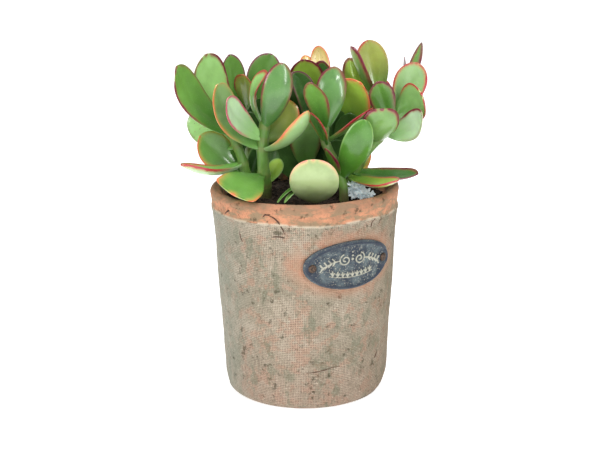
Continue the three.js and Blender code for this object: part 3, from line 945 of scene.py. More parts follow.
class Shoots:
    """Every stem of the plant and the leaves on it.

    Attributes:
        NAMES: The shoots, each a stem with its leaves.
        STEM_SEGMENTS: How many points a stem has round, with STEM_RINGS its steps from root to bud.
        JOINT_SWELL: How much thicker a stem is where a leaf grows, JOINT_LENGTH along it.
        JOINT_REACH: How near a leaf's foot has to be to swell it.
        SLIMNESS: A stem's thickness against the frame's.
        UNEVENNESS: How much its thickness varies, in lumps of LUMP_SIZE.
        BUD_FROM: Where it begins to close, as a share of its length.
        PATH_STEPS: How many points its middle is searched at for a height, FOOT_STEPS for a leaf's foot.
        INSET: How far out from the stem's middle a leaf begins, as a share of its foot's distance.
        ROOT_SHARE: How far a stem is carried on below its first ring, as a share of a ring's step.
    """

    NAMES = ("left", "front_left", "centre", "sprout", "right", "back_right", "back_left", "back_centre")
    STEM_SEGMENTS = 28
    STEM_RINGS = 60
    JOINT_SWELL = 0.14
    JOINT_LENGTH = 2.4 * MM
    JOINT_REACH = 14 * MM
    SLIMNESS = 0.8
    UNEVENNESS = 0.05
    LUMP_SIZE = 9 * MM
    BUD_FROM = 0.94
    PATH_STEPS = 200
    FOOT_STEPS = 120
    INSET = 0.25
    ROOT_SHARE = 0.05

    def __init__(self) -> None:
        """Reads the stems' paths from the frame."""
        self.skins = {shoot: self._upright(Skin.of(f"{shoot}_stem")) for shoot in self.NAMES}
        self.blade = Blade()

    @staticmethod
    def _upright(skin: Skin) -> Skin:
        """Turns a stem's rings so that they run from root to bud."""
        if skin.start[2] < skin.end[2]:
            return skin
        return Skin(skin.end, skin.rings[::-1], skin.start)

    def foot(self, shoot: str, spot: np.ndarray) -> np.ndarray:
        """The point inside a stem, near its middle, that a leaf at a spot grows from."""
        path = smooth_path(self.skins[shoot].centres(), np.linspace(0, 1, self.FOOT_STEPS))
        nearest = path[np.linalg.norm(path - spot, axis=1).argmin()]
        return nearest + (spot - nearest) * self.INSET

    def height_on(self, shoot: str, height: float) -> np.ndarray:
        """The middle of a stem at a height in metres."""
        path = smooth_path(self.skins[shoot].centres(), np.linspace(0, 1, self.PATH_STEPS))
        return path[np.abs(path[:, 2] - height).argmin()]

    def leaves(self) -> None:
        """Bends every leaf of the frame, and the small ones that it leaves out."""
        for node in sorted(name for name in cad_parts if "_leaf_" in name):
            shoot = node.rsplit("_leaf_", 1)[0]
            form = LeafForm.of(node)
            style = LEAVES.get(node, LeafStyle())
            form = style.posed(replace(form, base=self.foot(shoot, form.base)))
            piece = self.blade.leaf(f"{node}_blade", form, style)
            settle(piece, "leaf", style.finish().material(), node)
        for count, small in enumerate(SMALL_LEAVES, 1):
            base = self.height_on(small.shoot, small.height * MM)
            tip = np.array(small.tip) * MM
            form = LeafForm.posed(base, tip, small.width * MM, np.array(small.faces, float), small.curl)
            piece = self.blade.leaf(f"{small.shoot}_small_leaf_{count}", form, small.style)
            settle(piece, "leaf", small.style.finish().material())
        self.blade.done()

    def stems(self) -> None:
        """Models each stem as a fleshy tube with swollen joints where its leaves grow."""
        blank, round_points, t = ball("stem_blank", self.STEM_SEGMENTS, self.STEM_RINGS)
        turn = outward(round_points)
        green = StemFinish().material()
        for shoot, skin in self.skins.items():
            piece = copy_of(blank, f"{shoot}_stem_tube")
            centres = skin.centres()
            root = centres[:1] - (centres[1] - centres[0]) * self.ROOT_SHARE
            knots = np.vstack([root, centres, skin.end])
            middle = smooth_path(knots, t)
            ahead = unit(smooth_path(knots, t + 0.01) - smooth_path(knots, t - 0.01))
            radii = np.linalg.norm(skin.rings - centres[:, None], axis=2).mean(1)
            radius = np.interp(t, np.linspace(0, 1, len(radii)), radii) * self.SLIMNESS
            near = np.zeros(len(t))
            for node in (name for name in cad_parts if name.startswith(f"{shoot}_leaf_")):
                spot = LeafForm.of(node).base
                gap = np.abs(((middle - self.foot(shoot, spot)) * ahead).sum(1))
                close = np.linalg.norm(middle - spot, axis=1) < self.JOINT_REACH
                near = np.maximum(near, np.exp(-((gap / self.JOINT_LENGTH) ** 2)) * close)
            lumps = rumple(middle + turn[:, :1] * MM * 4, self.LUMP_SIZE)
            radius = radius * (1 + self.JOINT_SWELL * near) * (1 + self.UNEVENNESS * lumps)
            bud = ((t - self.BUD_FROM) / (1 - self.BUD_FROM)).clip(0, 1)
            radius = radius * np.sqrt(np.clip(1 - bud**2, 0, 1))
            side = unit(np.cross(np.array([0.0, 1.0, 0.0]), ahead))
            front = np.cross(ahead, side)
            points = middle + side * (turn[:, :1] * radius[:, None]) + front * (turn[:, 1:] * radius[:, None])
            move_points(piece, points)
            carry(piece, joint=near**6)
            settle(piece, "stem", green, f"{shoot}_stem")
        bpy.data.objects.remove(blank)


# ------------------------------------------------------------------ the pot
@dataclass(frozen=True)
class ClayFinish:
    """Weathered clay pressed in coarse cloth, with a bare orange band under the lip. Painted light pales its
    left side; painted shade darkens its right side, its lower part, the holes of its cloth and the inside of
    its wall.

    Attributes:
        bore: The inner radius at the foot.
        slope: How much wider the pot is for each metre of height.
        threads_round: How many upright threads there are round the pot.
        thread: The height of one weft thread.
        plate_azimuth: How far round the label plate's middle is, in radians from the front.
        plate_level: The height of its middle.
        plate_half: Half its turn in radians and half its height.
    """

    bore: float
    slope: float
    threads_round: int
    thread: float
    plate_azimuth: float
    plate_level: float
    plate_half: tuple[float, float]

    def material(self) -> bpy.types.Material:
        """Makes the pot's finish."""
        shader = Shader("clay_cloth", 0.92, Specular_IOR_Level=0.25)
        x, y, z = shader.axes()
        round_way = x.math("ARCTAN2", y * -1.0)
        patches = shader.grain(24 * MM, 5.0, 0.62)
        blotches = shader.grain(10 * MM, 5.0, 0.65)
        specks = shader.grain(2.4 * MM, 3.0, 0.7)
        upright = shader.grain(15 * MM, 5.0, 0.66, where=shader.stretched((1.3, 1.3, 0.7)))
        cloth = shader.attribute("cloth")
        warp = (round_way * float(self.threads_round) + (blotches - 0.5) * 5.0).math("SINE") * 0.5 + 0.5
        weft = (z * (2 * math.pi / self.thread) + (patches - 0.5) * 9.0).math("SINE") * 0.5 + 0.5
        holes = (warp * weft).step(0.15, 0.8)
        clear = blotches.step(0.3, 0.55) * patches.step(0.62, 0.42) * 0.6 + 0.4
        coat = shader.mix(patches.step(0.4, 0.62), paint(168, 156, 138), paint(144, 136, 118))
        coat = shader.mix(blotches.step(0.5, 0.6) * 0.45, coat, paint(176, 132, 110))
        # Painted shade: the lower part of the pot is darker and warmer.
        coat = shader.mix(z.step(70 * MM, 0.0) * 0.4, coat, paint(156, 128, 112))
        coat = shader.mix(specks.step(0.42, 0.3) * 0.3, coat, paint(204, 194, 172))
        # Painted shade: the cloth's holes, which sit lower, are painted dark where the coat is clear.
        coat = shader.mix(holes * clear * 0.75, coat, paint(92, 70, 54))
        moss = upright.step(0.52, 0.6)
        streak = round_way.within(-1.1, 0.4) * upright.step(0.34, 0.56)
        coat = shader.mix((moss + streak).math("MINIMUM", 1.0) * 0.5, coat, paint(104, 110, 90))
        # Painted light: the left side, towards the light, is paler and greyer.
        coat = shader.mix(round_way.within(-1.45, 0.95) * 0.45, coat, paint(162, 168, 156))
        # Painted shade: the right side, away from the light, is darker.
        coat = shader.mix(round_way.within(1.4, 1.0) * 0.55, coat, paint(116, 104, 82))
        stains = shader.grain(6.5 * MM, 6.0, 0.72).step(0.585, 0.66)
        coat = shader.mix(stains * 0.75, coat, paint(72, 68, 50))
        fine = shader.grain(1.5 * MM, 4.0, 0.75)
        coat = shader.mix(fine.step(0.5, 0.7) * 0.55, coat, paint(92, 78, 60))
        coat = shader.mix(fine.step(0.44, 0.3) * 0.4, coat, paint(212, 204, 186))
        smears = shader.grain(16 * MM, 6.0, 0.7, where=shader.stretched((1, 1, 2.6)))
        bare = shader.mix(blotches.step(0.36, 0.66), paint(194, 136, 104), paint(160, 118, 92))
        bare = shader.mix(smears.step(0.46, 0.56) * 0.75, bare, paint(126, 116, 92))
        bare = shader.mix(fine.step(0.52, 0.7) * 0.45, bare, paint(104, 82, 62))
        bare = shader.mix(z.step(151 * MM, 157 * MM) * 0.45, bare, paint(140, 106, 84))
        bare = shader.mix(stains * 0.8, bare, paint(84, 72, 54))
        colour = shader.mix(cloth.step(0.35, 0.65), bare, coat)
        fray = cloth.within(0.5, 0.4) * shader.grain(9 * MM, 3.0).step(0.38, 0.5)
        colour = shader.mix(fray * 0.6, colour, paint(214, 202, 180))
        half_wide, half_high = self.plate_half
        aside = (round_way - self.plate_azimuth) / half_wide
        level = (z - self.plate_level) / half_high
        ring = (aside * aside + level * level).math("SQRT")
        halo = ring.step(1.6, 0.95) * patches.step(0.28, 0.52)
        colour = shader.mix(halo * 0.5, colour, paint(196, 136, 106))
        inside = (x * x + y * y).math("SQRT") - (self.bore + z * self.slope)
        # Painted shade: the inside of the wall, above the floor, is darkened brown.
        painted_shade_inside = inside.step(0.5 * MM, -1.5 * MM) * z.step(8 * MM, 12 * MM)
        colour = shader.mix(painted_shade_inside * 0.6, colour, paint(84, 62, 46))
        rise = (1.0 - holes) * cloth.step(0.3, 0.7) * 0.5 + specks * 0.5 + blotches * 0.9 - stains * 0.3
        return shader.finish(colour, rise, 1.0 * MM)


@dataclass
class Pot:
    """The tapered clay pot with its pressed cloth coat and rolled lip.

    Attributes:
        wall: The wall's thickness.
        floor: The floor's thickness.
        lip: The lip's outer round.
        cloth_top: How high the cloth coat goes, with cloth_proud its thickness.
        corner: The round at the foot.
        steps: How many steps one turn has, with step_height the wall's step upwards.
        taper: How much larger the rim's radius is than the foot's.
        rim_zone: The height under the rim in which the frame's widest point is sought.
        flare: How far the lip leans out, from a share flare_from of the height, over flare_reach more.
        front_lift: How much higher the lip stands at the front.
        side_lift: How much higher it stands on the right and lower on the left.
        lip_wave: How far it waves, above a share lip_from of the height.
        wear: How far the foot is rubbed away at the sides, up to wear_height.
        lumps: The clay's lumps, each a cloud size, a height and a pattern's shift.
        dent_size: The size of dents, dent_depth deep, where the noise is over dents_above.
        hem_wave: How far the cloth's hem wanders, with hem_softness the height of its edge.
        ridge: How far the hem stands out, ridge_below under its edge and ridge_width wide.
        plain_foot: The height over which the foot's underside stays smooth.
    """

    wall: float = 7 * MM
    floor: float = 9 * MM
    lip: float = 3.5 * MM
    cloth_top: float = 144 * MM
    cloth_proud: float = 0.9 * MM
    corner: float = 4.5 * MM
    steps: int = 300
    step_height: float = 1.1 * MM
    taper: float = 10 * MM
    rim_zone: float = 6 * MM
    flare: float = 1.3 * MM
    flare_from: float = 0.86
    flare_reach: float = 0.1
    front_lift: float = 1.8 * MM
    side_lift: float = 0.7 * MM
    lip_wave: float = 1.1 * MM
    lip_from: float = 0.9
    wear: float = 3.0 * MM
    wear_height: float = 14 * MM
    lumps: tuple[tuple[float, float, float], ...] = ((34 * MM, 0.55 * MM, 0.0), (12 * MM, 0.35 * MM, 5.0))
    dent_size: float = 7 * MM
    dent_depth: float = 2.2 * MM
    dents_above: float = 0.45
    hem_wave: float = 1.6 * MM
    hem_softness: float = 0.7 * MM
    ridge: float = 0.5 * MM
    ridge_below: float = 1.2 * MM
    ridge_width: float = 1.1 * MM
    plain_foot: float = 4 * MM

    def __post_init__(self) -> None:
        """Takes the pot's height and radii from the frame."""
        _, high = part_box("pot")
        self.height = Vector(high).z
        skin = points_of(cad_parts["pot"])
        reach = np.hypot(skin[:, 0], skin[:, 1])
        self.rim_radius = float(reach[skin[:, 2] > self.height - self.rim_zone].max())
        self.foot_radius = self.rim_radius - self.taper
        self.slope = (self.rim_radius - self.foot_radius) / self.height

    def _flare_share(self, height: Any) -> Any:
        """How much of the lip's flare a height, or each of several, has."""
        return np.clip((height - self.flare_from * self.height) / (self.flare_reach * self.height), 0, 1)

    def clay_radius(self, height: float) -> float:
        """The bare wall's outer radius at a height."""
        return self.foot_radius + (self.rim_radius - self.foot_radius) * height / self.height

    def surface_radius(self, height: float) -> float:
        """The finished outer radius at a height, with the cloth coat and the flare at the lip."""
        coat = self.cloth_proud if height < self.cloth_top else 0.0
        return self.clay_radius(height) + coat + float(self._flare_share(height)) * self.flare

    def profile(self) -> list[tuple[float, float]]:
        """The pot's section from the middle of its underside over the lip to the middle of its floor."""
        foot = [(share * (self.clay_radius(0) - self.corner), 0.0) for share in (0, 0.25, 0.5, 0.75, 0.93)]
        centre = (self.clay_radius(self.corner) - self.corner, self.corner)
        corner = [self._round(centre, self.corner, -90 + 90 * k / 8) for k in range(9)]
        rise = self.height - self.lip - self.corner
        count = round(rise / self.step_height)
        levels = [self.corner + rise * k / count for k in range(1, count)]
        side = [(self.clay_radius(level), level) for level in levels]
        top = (self.clay_radius(self.height) - self.lip, self.height - self.lip)
        lip = [self._round(top, self.lip, 90 * k / 6) for k in range(7)]
        bore = (self.clay_radius(self.height) - self.wall + self.lip * 0.9, self.height - self.lip)
        inner = [self._round(bore, self.lip * 0.9, 95 + 85 * k / 6) for k in range(7)]
        levels = np.linspace(self.height - self.rim_zone, self.floor + 6 * MM, 26)
        depth = [(self.clay_radius(level) - self.wall, level) for level in levels]
        floor_radius = self.clay_radius(self.floor) - self.wall - 5 * MM
        floor = [(floor_radius * share, self.floor) for share in (1, 0.6, 0.3, 0)]
        return foot + corner + side + lip + inner + depth + floor

    @staticmethod
    def _round(centre: tuple[float, float], size: float, angle: float) -> tuple[float, float]:
        """A point of a round in the section, at an angle in degrees above the outward way."""
        turn = math.radians(angle)
        return centre[0] + size * math.cos(turn), centre[1] + size * math.sin(turn)

    def make(self, finish: ClayFinish) -> None:
        """Spins the pot, lays the cloth coat on it and rumples it as hand-pressed clay."""
        piece = spun("pot_body", self.profile(), self.steps)
        points = points_of(piece)
        reach = np.hypot(points[:, 0], points[:, 1])
        out = points[:, :2] / np.maximum(reach, 1e-9)[:, None]
        z = points[:, 2]
        outside = reach > np.array([self.clay_radius(level) for level in z]) - self.wall * 0.6
        hem = self.cloth_top + rumple(np.column_stack([points[:, :2], z * 0]), 40 * MM) * self.hem_wave
        cloth = 1 / (1 + np.exp(-(hem - z) / self.hem_softness))
        dents = -np.clip(rumple(points, self.dent_size, 9.0) - self.dents_above, 0, 1) * self.dent_depth
        ridge = np.exp(-(((z - hem + self.ridge_below) / self.ridge_width) ** 2)) * self.ridge
        push = cloth * (self.cloth_proud + dents) + heaped(points, self.lumps) + ridge
        push = push * outside * np.clip(z / self.plain_foot, 0, 1)
        points[:, :2] += out * push[:, None]
        lifted = np.clip((z - self.lip_from * self.height) / ((1 - self.lip_from) * self.height), 0, 1)
        swell = rumple(np.column_stack([points[:, :2], z * 0]), 45 * MM, 7.0)
        points[:, 2] += lifted * (swell * self.lip_wave)
        points[:, 2] += lifted * points[:, 0] / self.rim_radius * self.side_lift
        points[:, 2] += lifted * np.clip(-out[:, 1], 0, 1) ** 2 * self.front_lift
        flare = self._flare_share(z) * outside
        sides = out[:, 0] ** 2 * (1.0 + 0.4 * out[:, 0])
        worn = np.clip(1 - z / self.wear_height, 0, 1) ** 1.5 * outside * sides
        points[:, :2] += out * (flare * self.flare - worn * self.wear)[:, None]
        move_points(piece, points)
        carry(piece, cloth=cloth)
        settle(piece, "clay", finish.material(), "pot")


@dataclass(frozen=True)
class FibreFinish:
    """Dark brown root fibre."""

    def material(self) -> bpy.types.Material:
        """Makes the fibres' finish."""
        shader = Shader("fibre_brown", 0.9)
        clouds = shader.grain(3 * MM, 3.0)
        colour = shader.mix(clouds, paint(46, 34, 28), paint(98, 64, 48))
        return shader.finish(colour, clouds, 0.2 * MM)


@dataclass(frozen=True)
class Fibre:
    """A root fibre or crack pressed into the clay: degrees round and height in mm along it, and its girth."""

    path: tuple[tuple[float, float], ...]
    girth: float


@dataclass
class Fibres:
    """The fine dark fibres and cracks on the pot."""

    strands: tuple[Fibre, ...] = (
        Fibre(((-22.8, 152.0), (-19.3, 150.7), (-15.8, 146.7), (-13.4, 142.0), (-11.8, 138.1)), 0.55),
        Fibre(((-26.1, 150.1), (-23.9, 152.1), (-22.8, 152.0), (-20.6, 152.6)), 0.6),
        Fibre(((-20.3, 135.5), (-16.7, 136.0), (-12.5, 135.6)), 0.34),
        Fibre(((-57.4, 145.7), (-54.2, 148.6), (-51.5, 149.7)), 0.5),
        Fibre(((43.4, 138.3), (44.5, 142.4), (48.0, 144.6)), 0.5),
        Fibre(((33.2, 144.9), (34.2, 146.5), (35.0, 147.7)), 0.45),
        Fibre(((-0.4, 29.9), (5.2, 30.5), (12.0, 31.8), (17.9, 33.4), (23.8, 33.5)), 0.26),
        Fibre(((54.8, 32.1), (56.4, 34.0), (57.6, 36.5)), 0.4),
        Fibre(((-36.0, 88.0), (-33.5, 86.0), (-32.5, 83.0)), 0.45),
        Fibre(((-44.0, 136.5), (-43.2, 131.0), (-41.0, 127.5)), 0.4),
        Fibre(((150.0, 147.0), (156.0, 142.0), (158.0, 134.0)), 0.4),
        Fibre(((-130.0, 62.0), (-122.0, 64.0), (-116.0, 63.0)), 0.35),
    )
    segments: int = 10
    rings: int = 30
    unevenness: float = 0.4
    flatness: float = 0.8
    mm_per_degree: float = 1.1

    def make(self, pot: Pot) -> None:
        """Lays every strand along the pot's wall."""
        blank, round_points, t = ball("strand_blank", self.segments, self.rings)
        across, out, _ = round_points.T
        parts = []
        for count, strand in enumerate(self.strands):
            part = copy_of(blank, f"strand_{count}")
            path = smooth_path(np.array(strand.path), t)
            wander = rumple(np.column_stack([path, path[:, :1] * 0]), 3.0)
            turn = np.radians(path[:, 0] + wander * 0.5)
            level = path[:, 1] * MM
            girth = strand.girth * MM * (1 + self.unevenness * wander)
            reach = np.array([pot.surface_radius(z) for z in level]) + out * girth * self.flatness
            turned, climbed = np.gradient(np.array(strand.path), axis=0).mean(0)
            lean = math.atan2(climbed / turned, self.mm_per_degree)
            aside = turn - across * girth * math.sin(lean) / pot.rim_radius
            level = level + across * girth * math.cos(lean)
            points = np.stack([reach * np.sin(aside), -reach * np.cos(aside), level], 1)
            move_points(part, points)
            parts.append(part)
        bpy.data.objects.remove(blank)
        settle(joined("clay_fibres", parts), "clay", FibreFinish().material())


# ------------------------------------------------------------------ the label plate
@dataclass(frozen=True)
class PlateFinish:
    """Blue-grey paint rubbed with cream on everything that stands out."""

    def material(self) -> bpy.types.Material:
        """Makes the plate's finish."""
        shader = Shader("plate_paint", 0.62, Specular_IOR_Level=0.4)
        relief = shader.attribute("relief")
        clouds = shader.grain(7 * MM, 4.0)
        fine = shader.grain(1.6 * MM, 3.0, 0.7)
        ground = shader.mix(clouds.step(0.35, 0.65), paint(36, 46, 60), paint(80, 92, 96))
        worn = shader.mix(fine, paint(196, 190, 168), paint(150, 154, 144))
        rubbed = (relief + (fine - 0.5) * 1.1).step(0.25, 0.8)
        colour = shader.mix(rubbed * 0.85, ground, worn)
        colour = shader.mix(shader.grain(1.1 * MM, 2.0).step(0.56, 0.7) * 0.6, colour, paint(174, 170, 152))
        colour = shader.mix(shader.grain(2.6 * MM, 4.0).step(0.55, 0.68) * 0.5, colour, paint(44, 50, 56))
        edge = shader.attribute("border")
        colour = shader.mix(edge * 0.85, colour, paint(28, 38, 56))
        return shader.finish(colour, fine * 0.6 + clouds * 0.4, 0.4 * MM)


@dataclass(frozen=True)
class RustFinish:
    """Brown rust on a nail's head."""

    def material(self) -> bpy.types.Material:
        """Makes the nails' finish."""
        shader = Shader("nail_rust", 0.75, Metallic=0.25)
        crust = shader.grain(1.4 * MM, 4.0, 0.7)
        colour = shader.mix(crust.step(0.3, 0.7), paint(34, 28, 26), paint(104, 82, 66))
        return shader.finish(colour, crust, 0.5 * MM)


@dataclass
class LabelPlate:
    """The oval plate nailed to the pot, with raised scrolls, sprigs and beads between its two nails.

    Attributes:
        rings: How many steps its face has from the brim to the middle, with spokes its steps round.
        rim: The raised border's width, with rim_height its height.
        thickness: How thick the plate is.
        relief_height: How far the ornament stands out.
        boss_radius: The ring round a nail, boss_width wide and boss_height high.
        boss_clear: How far from a nail the ornament keeps.
        nails: The frame's two nails.
    """

    rings: int = 54
    spokes: int = 260
    rim: float = 3.2 * MM
    thickness: float = 2.2 * MM
    rim_height: float = 1.5 * MM
    relief_height: float = 1.1 * MM
    boss_radius: float = 4.6 * MM
    boss_width: float = 0.9 * MM
    boss_height: float = 0.8 * MM
    boss_clear: float = 5 * MM
    nails: tuple[str, str] = ("label_nail_1", "label_nail_2")

    def __post_init__(self) -> None:
        """Measures the plate and its nails in the frame."""
        points = points_of(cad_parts["label_plate"])
        turn = np.arctan2(points[:, 0], -points[:, 1])
        self.azimuth = float((turn.min() + turn.max()) / 2)
        self.level = float((points[:, 2].min() + points[:, 2].max()) / 2)
        self.half_turn = float((turn.max() - turn.min()) / 2)
        self.half_height = float((points[:, 2].max() - points[:, 2].min()) / 2)
        reach = np.hypot(points[:, 0], points[:, 1])
        self.low_radius = float(reach.min())
        self.half_length = self.half_turn * self.low_radius

    def _strokes(self) -> list[tuple[np.ndarray, float]]:
        """The ornament as lines of points on the flat plate, in metres, each with its half width."""
        share = np.linspace(0, 1, 40)
        strokes = []
        for way in (-1, 1):
            turn = -0.5 * math.pi + 2.9 * math.pi * share
            size = 0.9 + 3.6 * share
            scroll = np.stack([way * (5.6 + size * np.cos(turn)), 4.8 + size * np.sin(turn)], 1)
            strokes.append((scroll, 0.62))
            stalk = np.stack([way * (10.5 + 12.5 * share), 4.5 - 5.5 * share**1.6], 1)
            strokes.append((stalk, 0.55))
            for count in range(4):
                root = stalk[8 + 9 * count]
                for lean in (-1, 1):
                    reach = np.array([way * 1.9, lean * 2.6])
                    strokes.append((root + reach * share[:, None], 0.62))
        for count in range(-4, 5):
            foot = np.array([count * 3.7, -8.2 + 0.11 * count * count])
            for lean in (-1, 0, 1):
                reach = np.array([lean * 1.3, 3.4 - abs(lean) * 1.2])
                strokes.append((foot + reach * share[:, None], 0.5))
        garland = np.stack([-17 + 34 * share, -8.8 + 2.2 * (2 * share - 1) ** 2], 1)
        strokes.append((garland, 0.5))
        for count in range(3):
            strokes.append((np.array([[0.0, 5.0 + 2.7 * count]]), 1.1 - 0.2 * count))
        return [(line * MM, width * MM) for line, width in strokes]

    def make(self, pot: Pot) -> None:
        """Models the plate flat, raises its ornament, bends it round the pot and nails it on."""
        back = [(share, 0.0) for share in np.linspace(0, 1, 9)]
        brim = [(1.0, 0.35), (1.0, 0.7), (0.995, 1.0)]
        front = [(share, 1.0) for share in np.linspace(0.985, 0, self.rings)]
        piece = spun("label_plate_relief", back + brim + front, self.spokes)
        flat = points_of(piece)
        sheet = np.stack([flat[:, 0] * self.half_length, flat[:, 1] * self.half_height], 1)
        share = np.hypot(flat[:, 0], flat[:, 1])
        inset = (1 - share) * self.half_height
        face = flat[:, 2] > 0.5
        border = np.exp(-(((inset - self.rim * 0.5) / (self.rim * 0.36)) ** 2))
        lift = border * self.rim_height
        relief = np.zeros(len(flat))
        for line, width in self._strokes():
            gap = np.linalg.norm(sheet[:, None] - line[None], axis=2).min(1)
            relief = np.maximum(relief, np.exp(-((gap / width) ** 4)))
        for nail in self.nails:
            gap = np.linalg.norm(sheet - np.array([self._nail_place(nail), 0.0]), axis=1)
            lift += np.exp(-(((gap - self.boss_radius) / self.boss_width) ** 2)) * self.boss_height
            relief = relief * (gap > self.boss_clear)
        grains = rumple(np.column_stack([sheet, share * 0]), 2.2 * MM) * 0.12 * MM
        up = self.thickness * flat[:, 2] + (lift + relief * self.relief_height + grains) * face
        turn = self.azimuth + sheet[:, 0] / self.low_radius
        level = self.level + sheet[:, 1]
        reach = self.low_radius + (level - (self.level - self.half_height)) * pot.slope + up
        points = np.stack([reach * np.sin(turn), -reach * np.cos(turn), level - pot.slope * up], 1)
        move_points(piece, points)
        carry(piece, relief=np.clip(relief * face + border * 0.25, 0, 1), border=border * face)
        settle(piece, "plate", PlateFinish().material(), "label_plate")
        self._make_nails()

    def _nail_place(self, node: str) -> float:
        """How far along the plate from its middle a nail is."""
        low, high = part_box(node)
        middle = (Vector(low) + Vector(high)) / 2
        return (math.atan2(middle.x, -middle.y) - self.azimuth) * self.low_radius

    def _make_nails(self) -> None:
        """Models both nails from the frame's: rounded, hammered and rusty."""
        rust = RustFinish().material()
        for node in self.nails:
            piece = copy_of(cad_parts[node], f"{node}_head")
            piece.parent = None
            clear_selection()
            piece.select_set(True)
            bpy.context.view_layer.objects.active = piece
            bpy.ops.object.mode_set(mode="EDIT")
            bpy.ops.mesh.select_all(action="SELECT")
            bpy.ops.mesh.remove_doubles(threshold=MERGE_GAP)
            bpy.ops.mesh.subdivide(number_cuts=3, smoothness=0.6)
            bpy.ops.object.mode_set(mode="OBJECT")
            bpy.ops.object.shade_smooth()
            points = points_of(piece)
            middle = points.mean(0)
            points += unit(points - middle) * (rumple(points, 1.6 * MM) * 0.22 * MM)[:, None]
            move_points(piece, points)
            settle(piece, "nail", rust, node)


# ------------------------------------------------------------------ soil and lichen
@dataclass(frozen=True)
class SoilFinish:
    """Damp dark potting mix."""

    def material(self) -> bpy.types.Material:
        """Makes the soil's finish."""
        shader = Shader("soil_damp", 0.95, Specular_IOR_Level=0.2)
        crumbs = shader.grain(3 * MM, 5.0, 0.7)
        colour = shader.mix(crumbs.step(0.3, 0.7), paint(20, 18, 15), paint(66, 54, 44))
        colour = shader.mix(shader.cells(2.4 * MM).step(0.25, 0.05) * 0.5, colour, paint(112, 86, 66))
        return shader.finish(colour, crumbs, 1.6 * MM)


@dataclass
class Soil:
    """The potting mix: a heaped surface with loose crumbs on it.

    Attributes:
        spokes: How many steps one turn has.
        edge_drop: How much lower the surface is at the wall.
        top_zone: The height under its top in which the frame's widest point is sought, low_zone at its foot.
        rough_zone: The height under its top that is lumpy.
        lumps: Its lumps, each a cloud size, a height and a pattern's shift.
        crumbs: How many loose crumbs lie on it, of a size between the two of crumb_size.
        crumb_seed: The seed of their places.
    """

    spokes: int = 220
    edge_drop: float = 3 * MM
    top_zone: float = 6 * MM
    low_zone: float = 1 * MM
    rough_zone: float = 4.5 * MM
    lumps: tuple[tuple[float, float, float], ...] = ((9 * MM, 1.1 * MM, 0.0), (3 * MM, 0.8 * MM, 4.0))
    crumbs: int = 420
    crumb_size: tuple[float, float] = (0.6 * MM, 1.9 * MM)
    crumb_seed: int = 11

    def make(self) -> None:
        """Heaps the soil inside the pot and scatters its crumbs."""
        low, high = (Vector(corner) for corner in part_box("soil"))
        skin = points_of(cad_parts["soil"])
        reach = np.hypot(skin[:, 0], skin[:, 1])
        wide_top = float(reach[skin[:, 2] > high.z - self.top_zone].max())
        wide_low = float(reach[skin[:, 2] < low.z + self.low_zone].max())
        shares = np.linspace(0.995, 0, 60)
        surface = [(wide_top * share, high.z - self.edge_drop * share**4) for share in shares]
        flank, rise = wide_top - wide_low, high.z - self.edge_drop - low.z
        wall = [(wide_low + flank * share, low.z + rise * share) for share in np.linspace(0, 1, 12)]
        floor = [(0.0, low.z), (wide_low * 0.5, low.z)]
        piece = spun("soil_heap", floor + wall + surface, self.spokes)
        points = points_of(piece)
        top = points[:, 2] > high.z - self.rough_zone
        points[:, 2] += heaped(points, self.lumps) * top
        move_points(piece, points)
        material = SoilFinish().material()
        settle(piece, "soil", material, "soil")
        self._scatter(high.z, wide_top, material)

    def _scatter(self, level: float, reach: float, material: bpy.types.Material) -> None:
        """Scatters angular crumbs over the soil and joins them into one piece."""
        rng = np.random.default_rng(self.crumb_seed)
        clear_selection()
        bpy.ops.mesh.primitive_ico_sphere_add(subdivisions=1, radius=1.0)
        blank = bpy.context.object
        shape = points_of(blank)
        parts = []
        for count in range(self.crumbs):
            part = copy_of(blank, f"crumb_{count}")
            distance = reach * math.sqrt(rng.uniform(0, 0.92))
            turn = rng.uniform(0, 2 * math.pi)
            size = rng.uniform(*self.crumb_size)
            knobs = shape * (1 + 0.35 * rng.uniform(-1, 1, (len(shape), 1))) * rng.uniform(0.6, 1.3, 3)
            spin = np.array(Matrix.Rotation(rng.uniform(0, ANY_TURN), 3, "Z"))
            place = np.array([distance * math.cos(turn), distance * math.sin(turn), level + 0.2 * size])
            move_points(part, knobs @ spin.T * size + place)
            parts.append(part)
        bpy.data.objects.remove(blank)
        settle(joined("soil_crumbs", parts), "soil", material)


@dataclass(frozen=True)
class LichenFinish:
    """Dry silver-blue lichen, with a faint glow as painted light."""

    def material(self) -> bpy.types.Material:
        """Makes the lichen's finish."""
        # Painted light: a faint pale glow brightens the lichen.
        shader = Shader("lichen_silver", 0.9, Emission_Color=paint(214, 232, 238), Emission_Strength=0.1)
        tufts = shader.grain(2.2 * MM, 4.0, 0.7)
        colour = shader.mix(tufts.step(0.3, 0.55), paint(206, 226, 230), paint(246, 250, 252))
        colour = shader.mix(shader.cells(2.6 * MM).step(0.2, 0.05) * 0.6, colour, paint(96, 112, 108))
        return shader.finish(colour, tufts, 0.4 * MM)


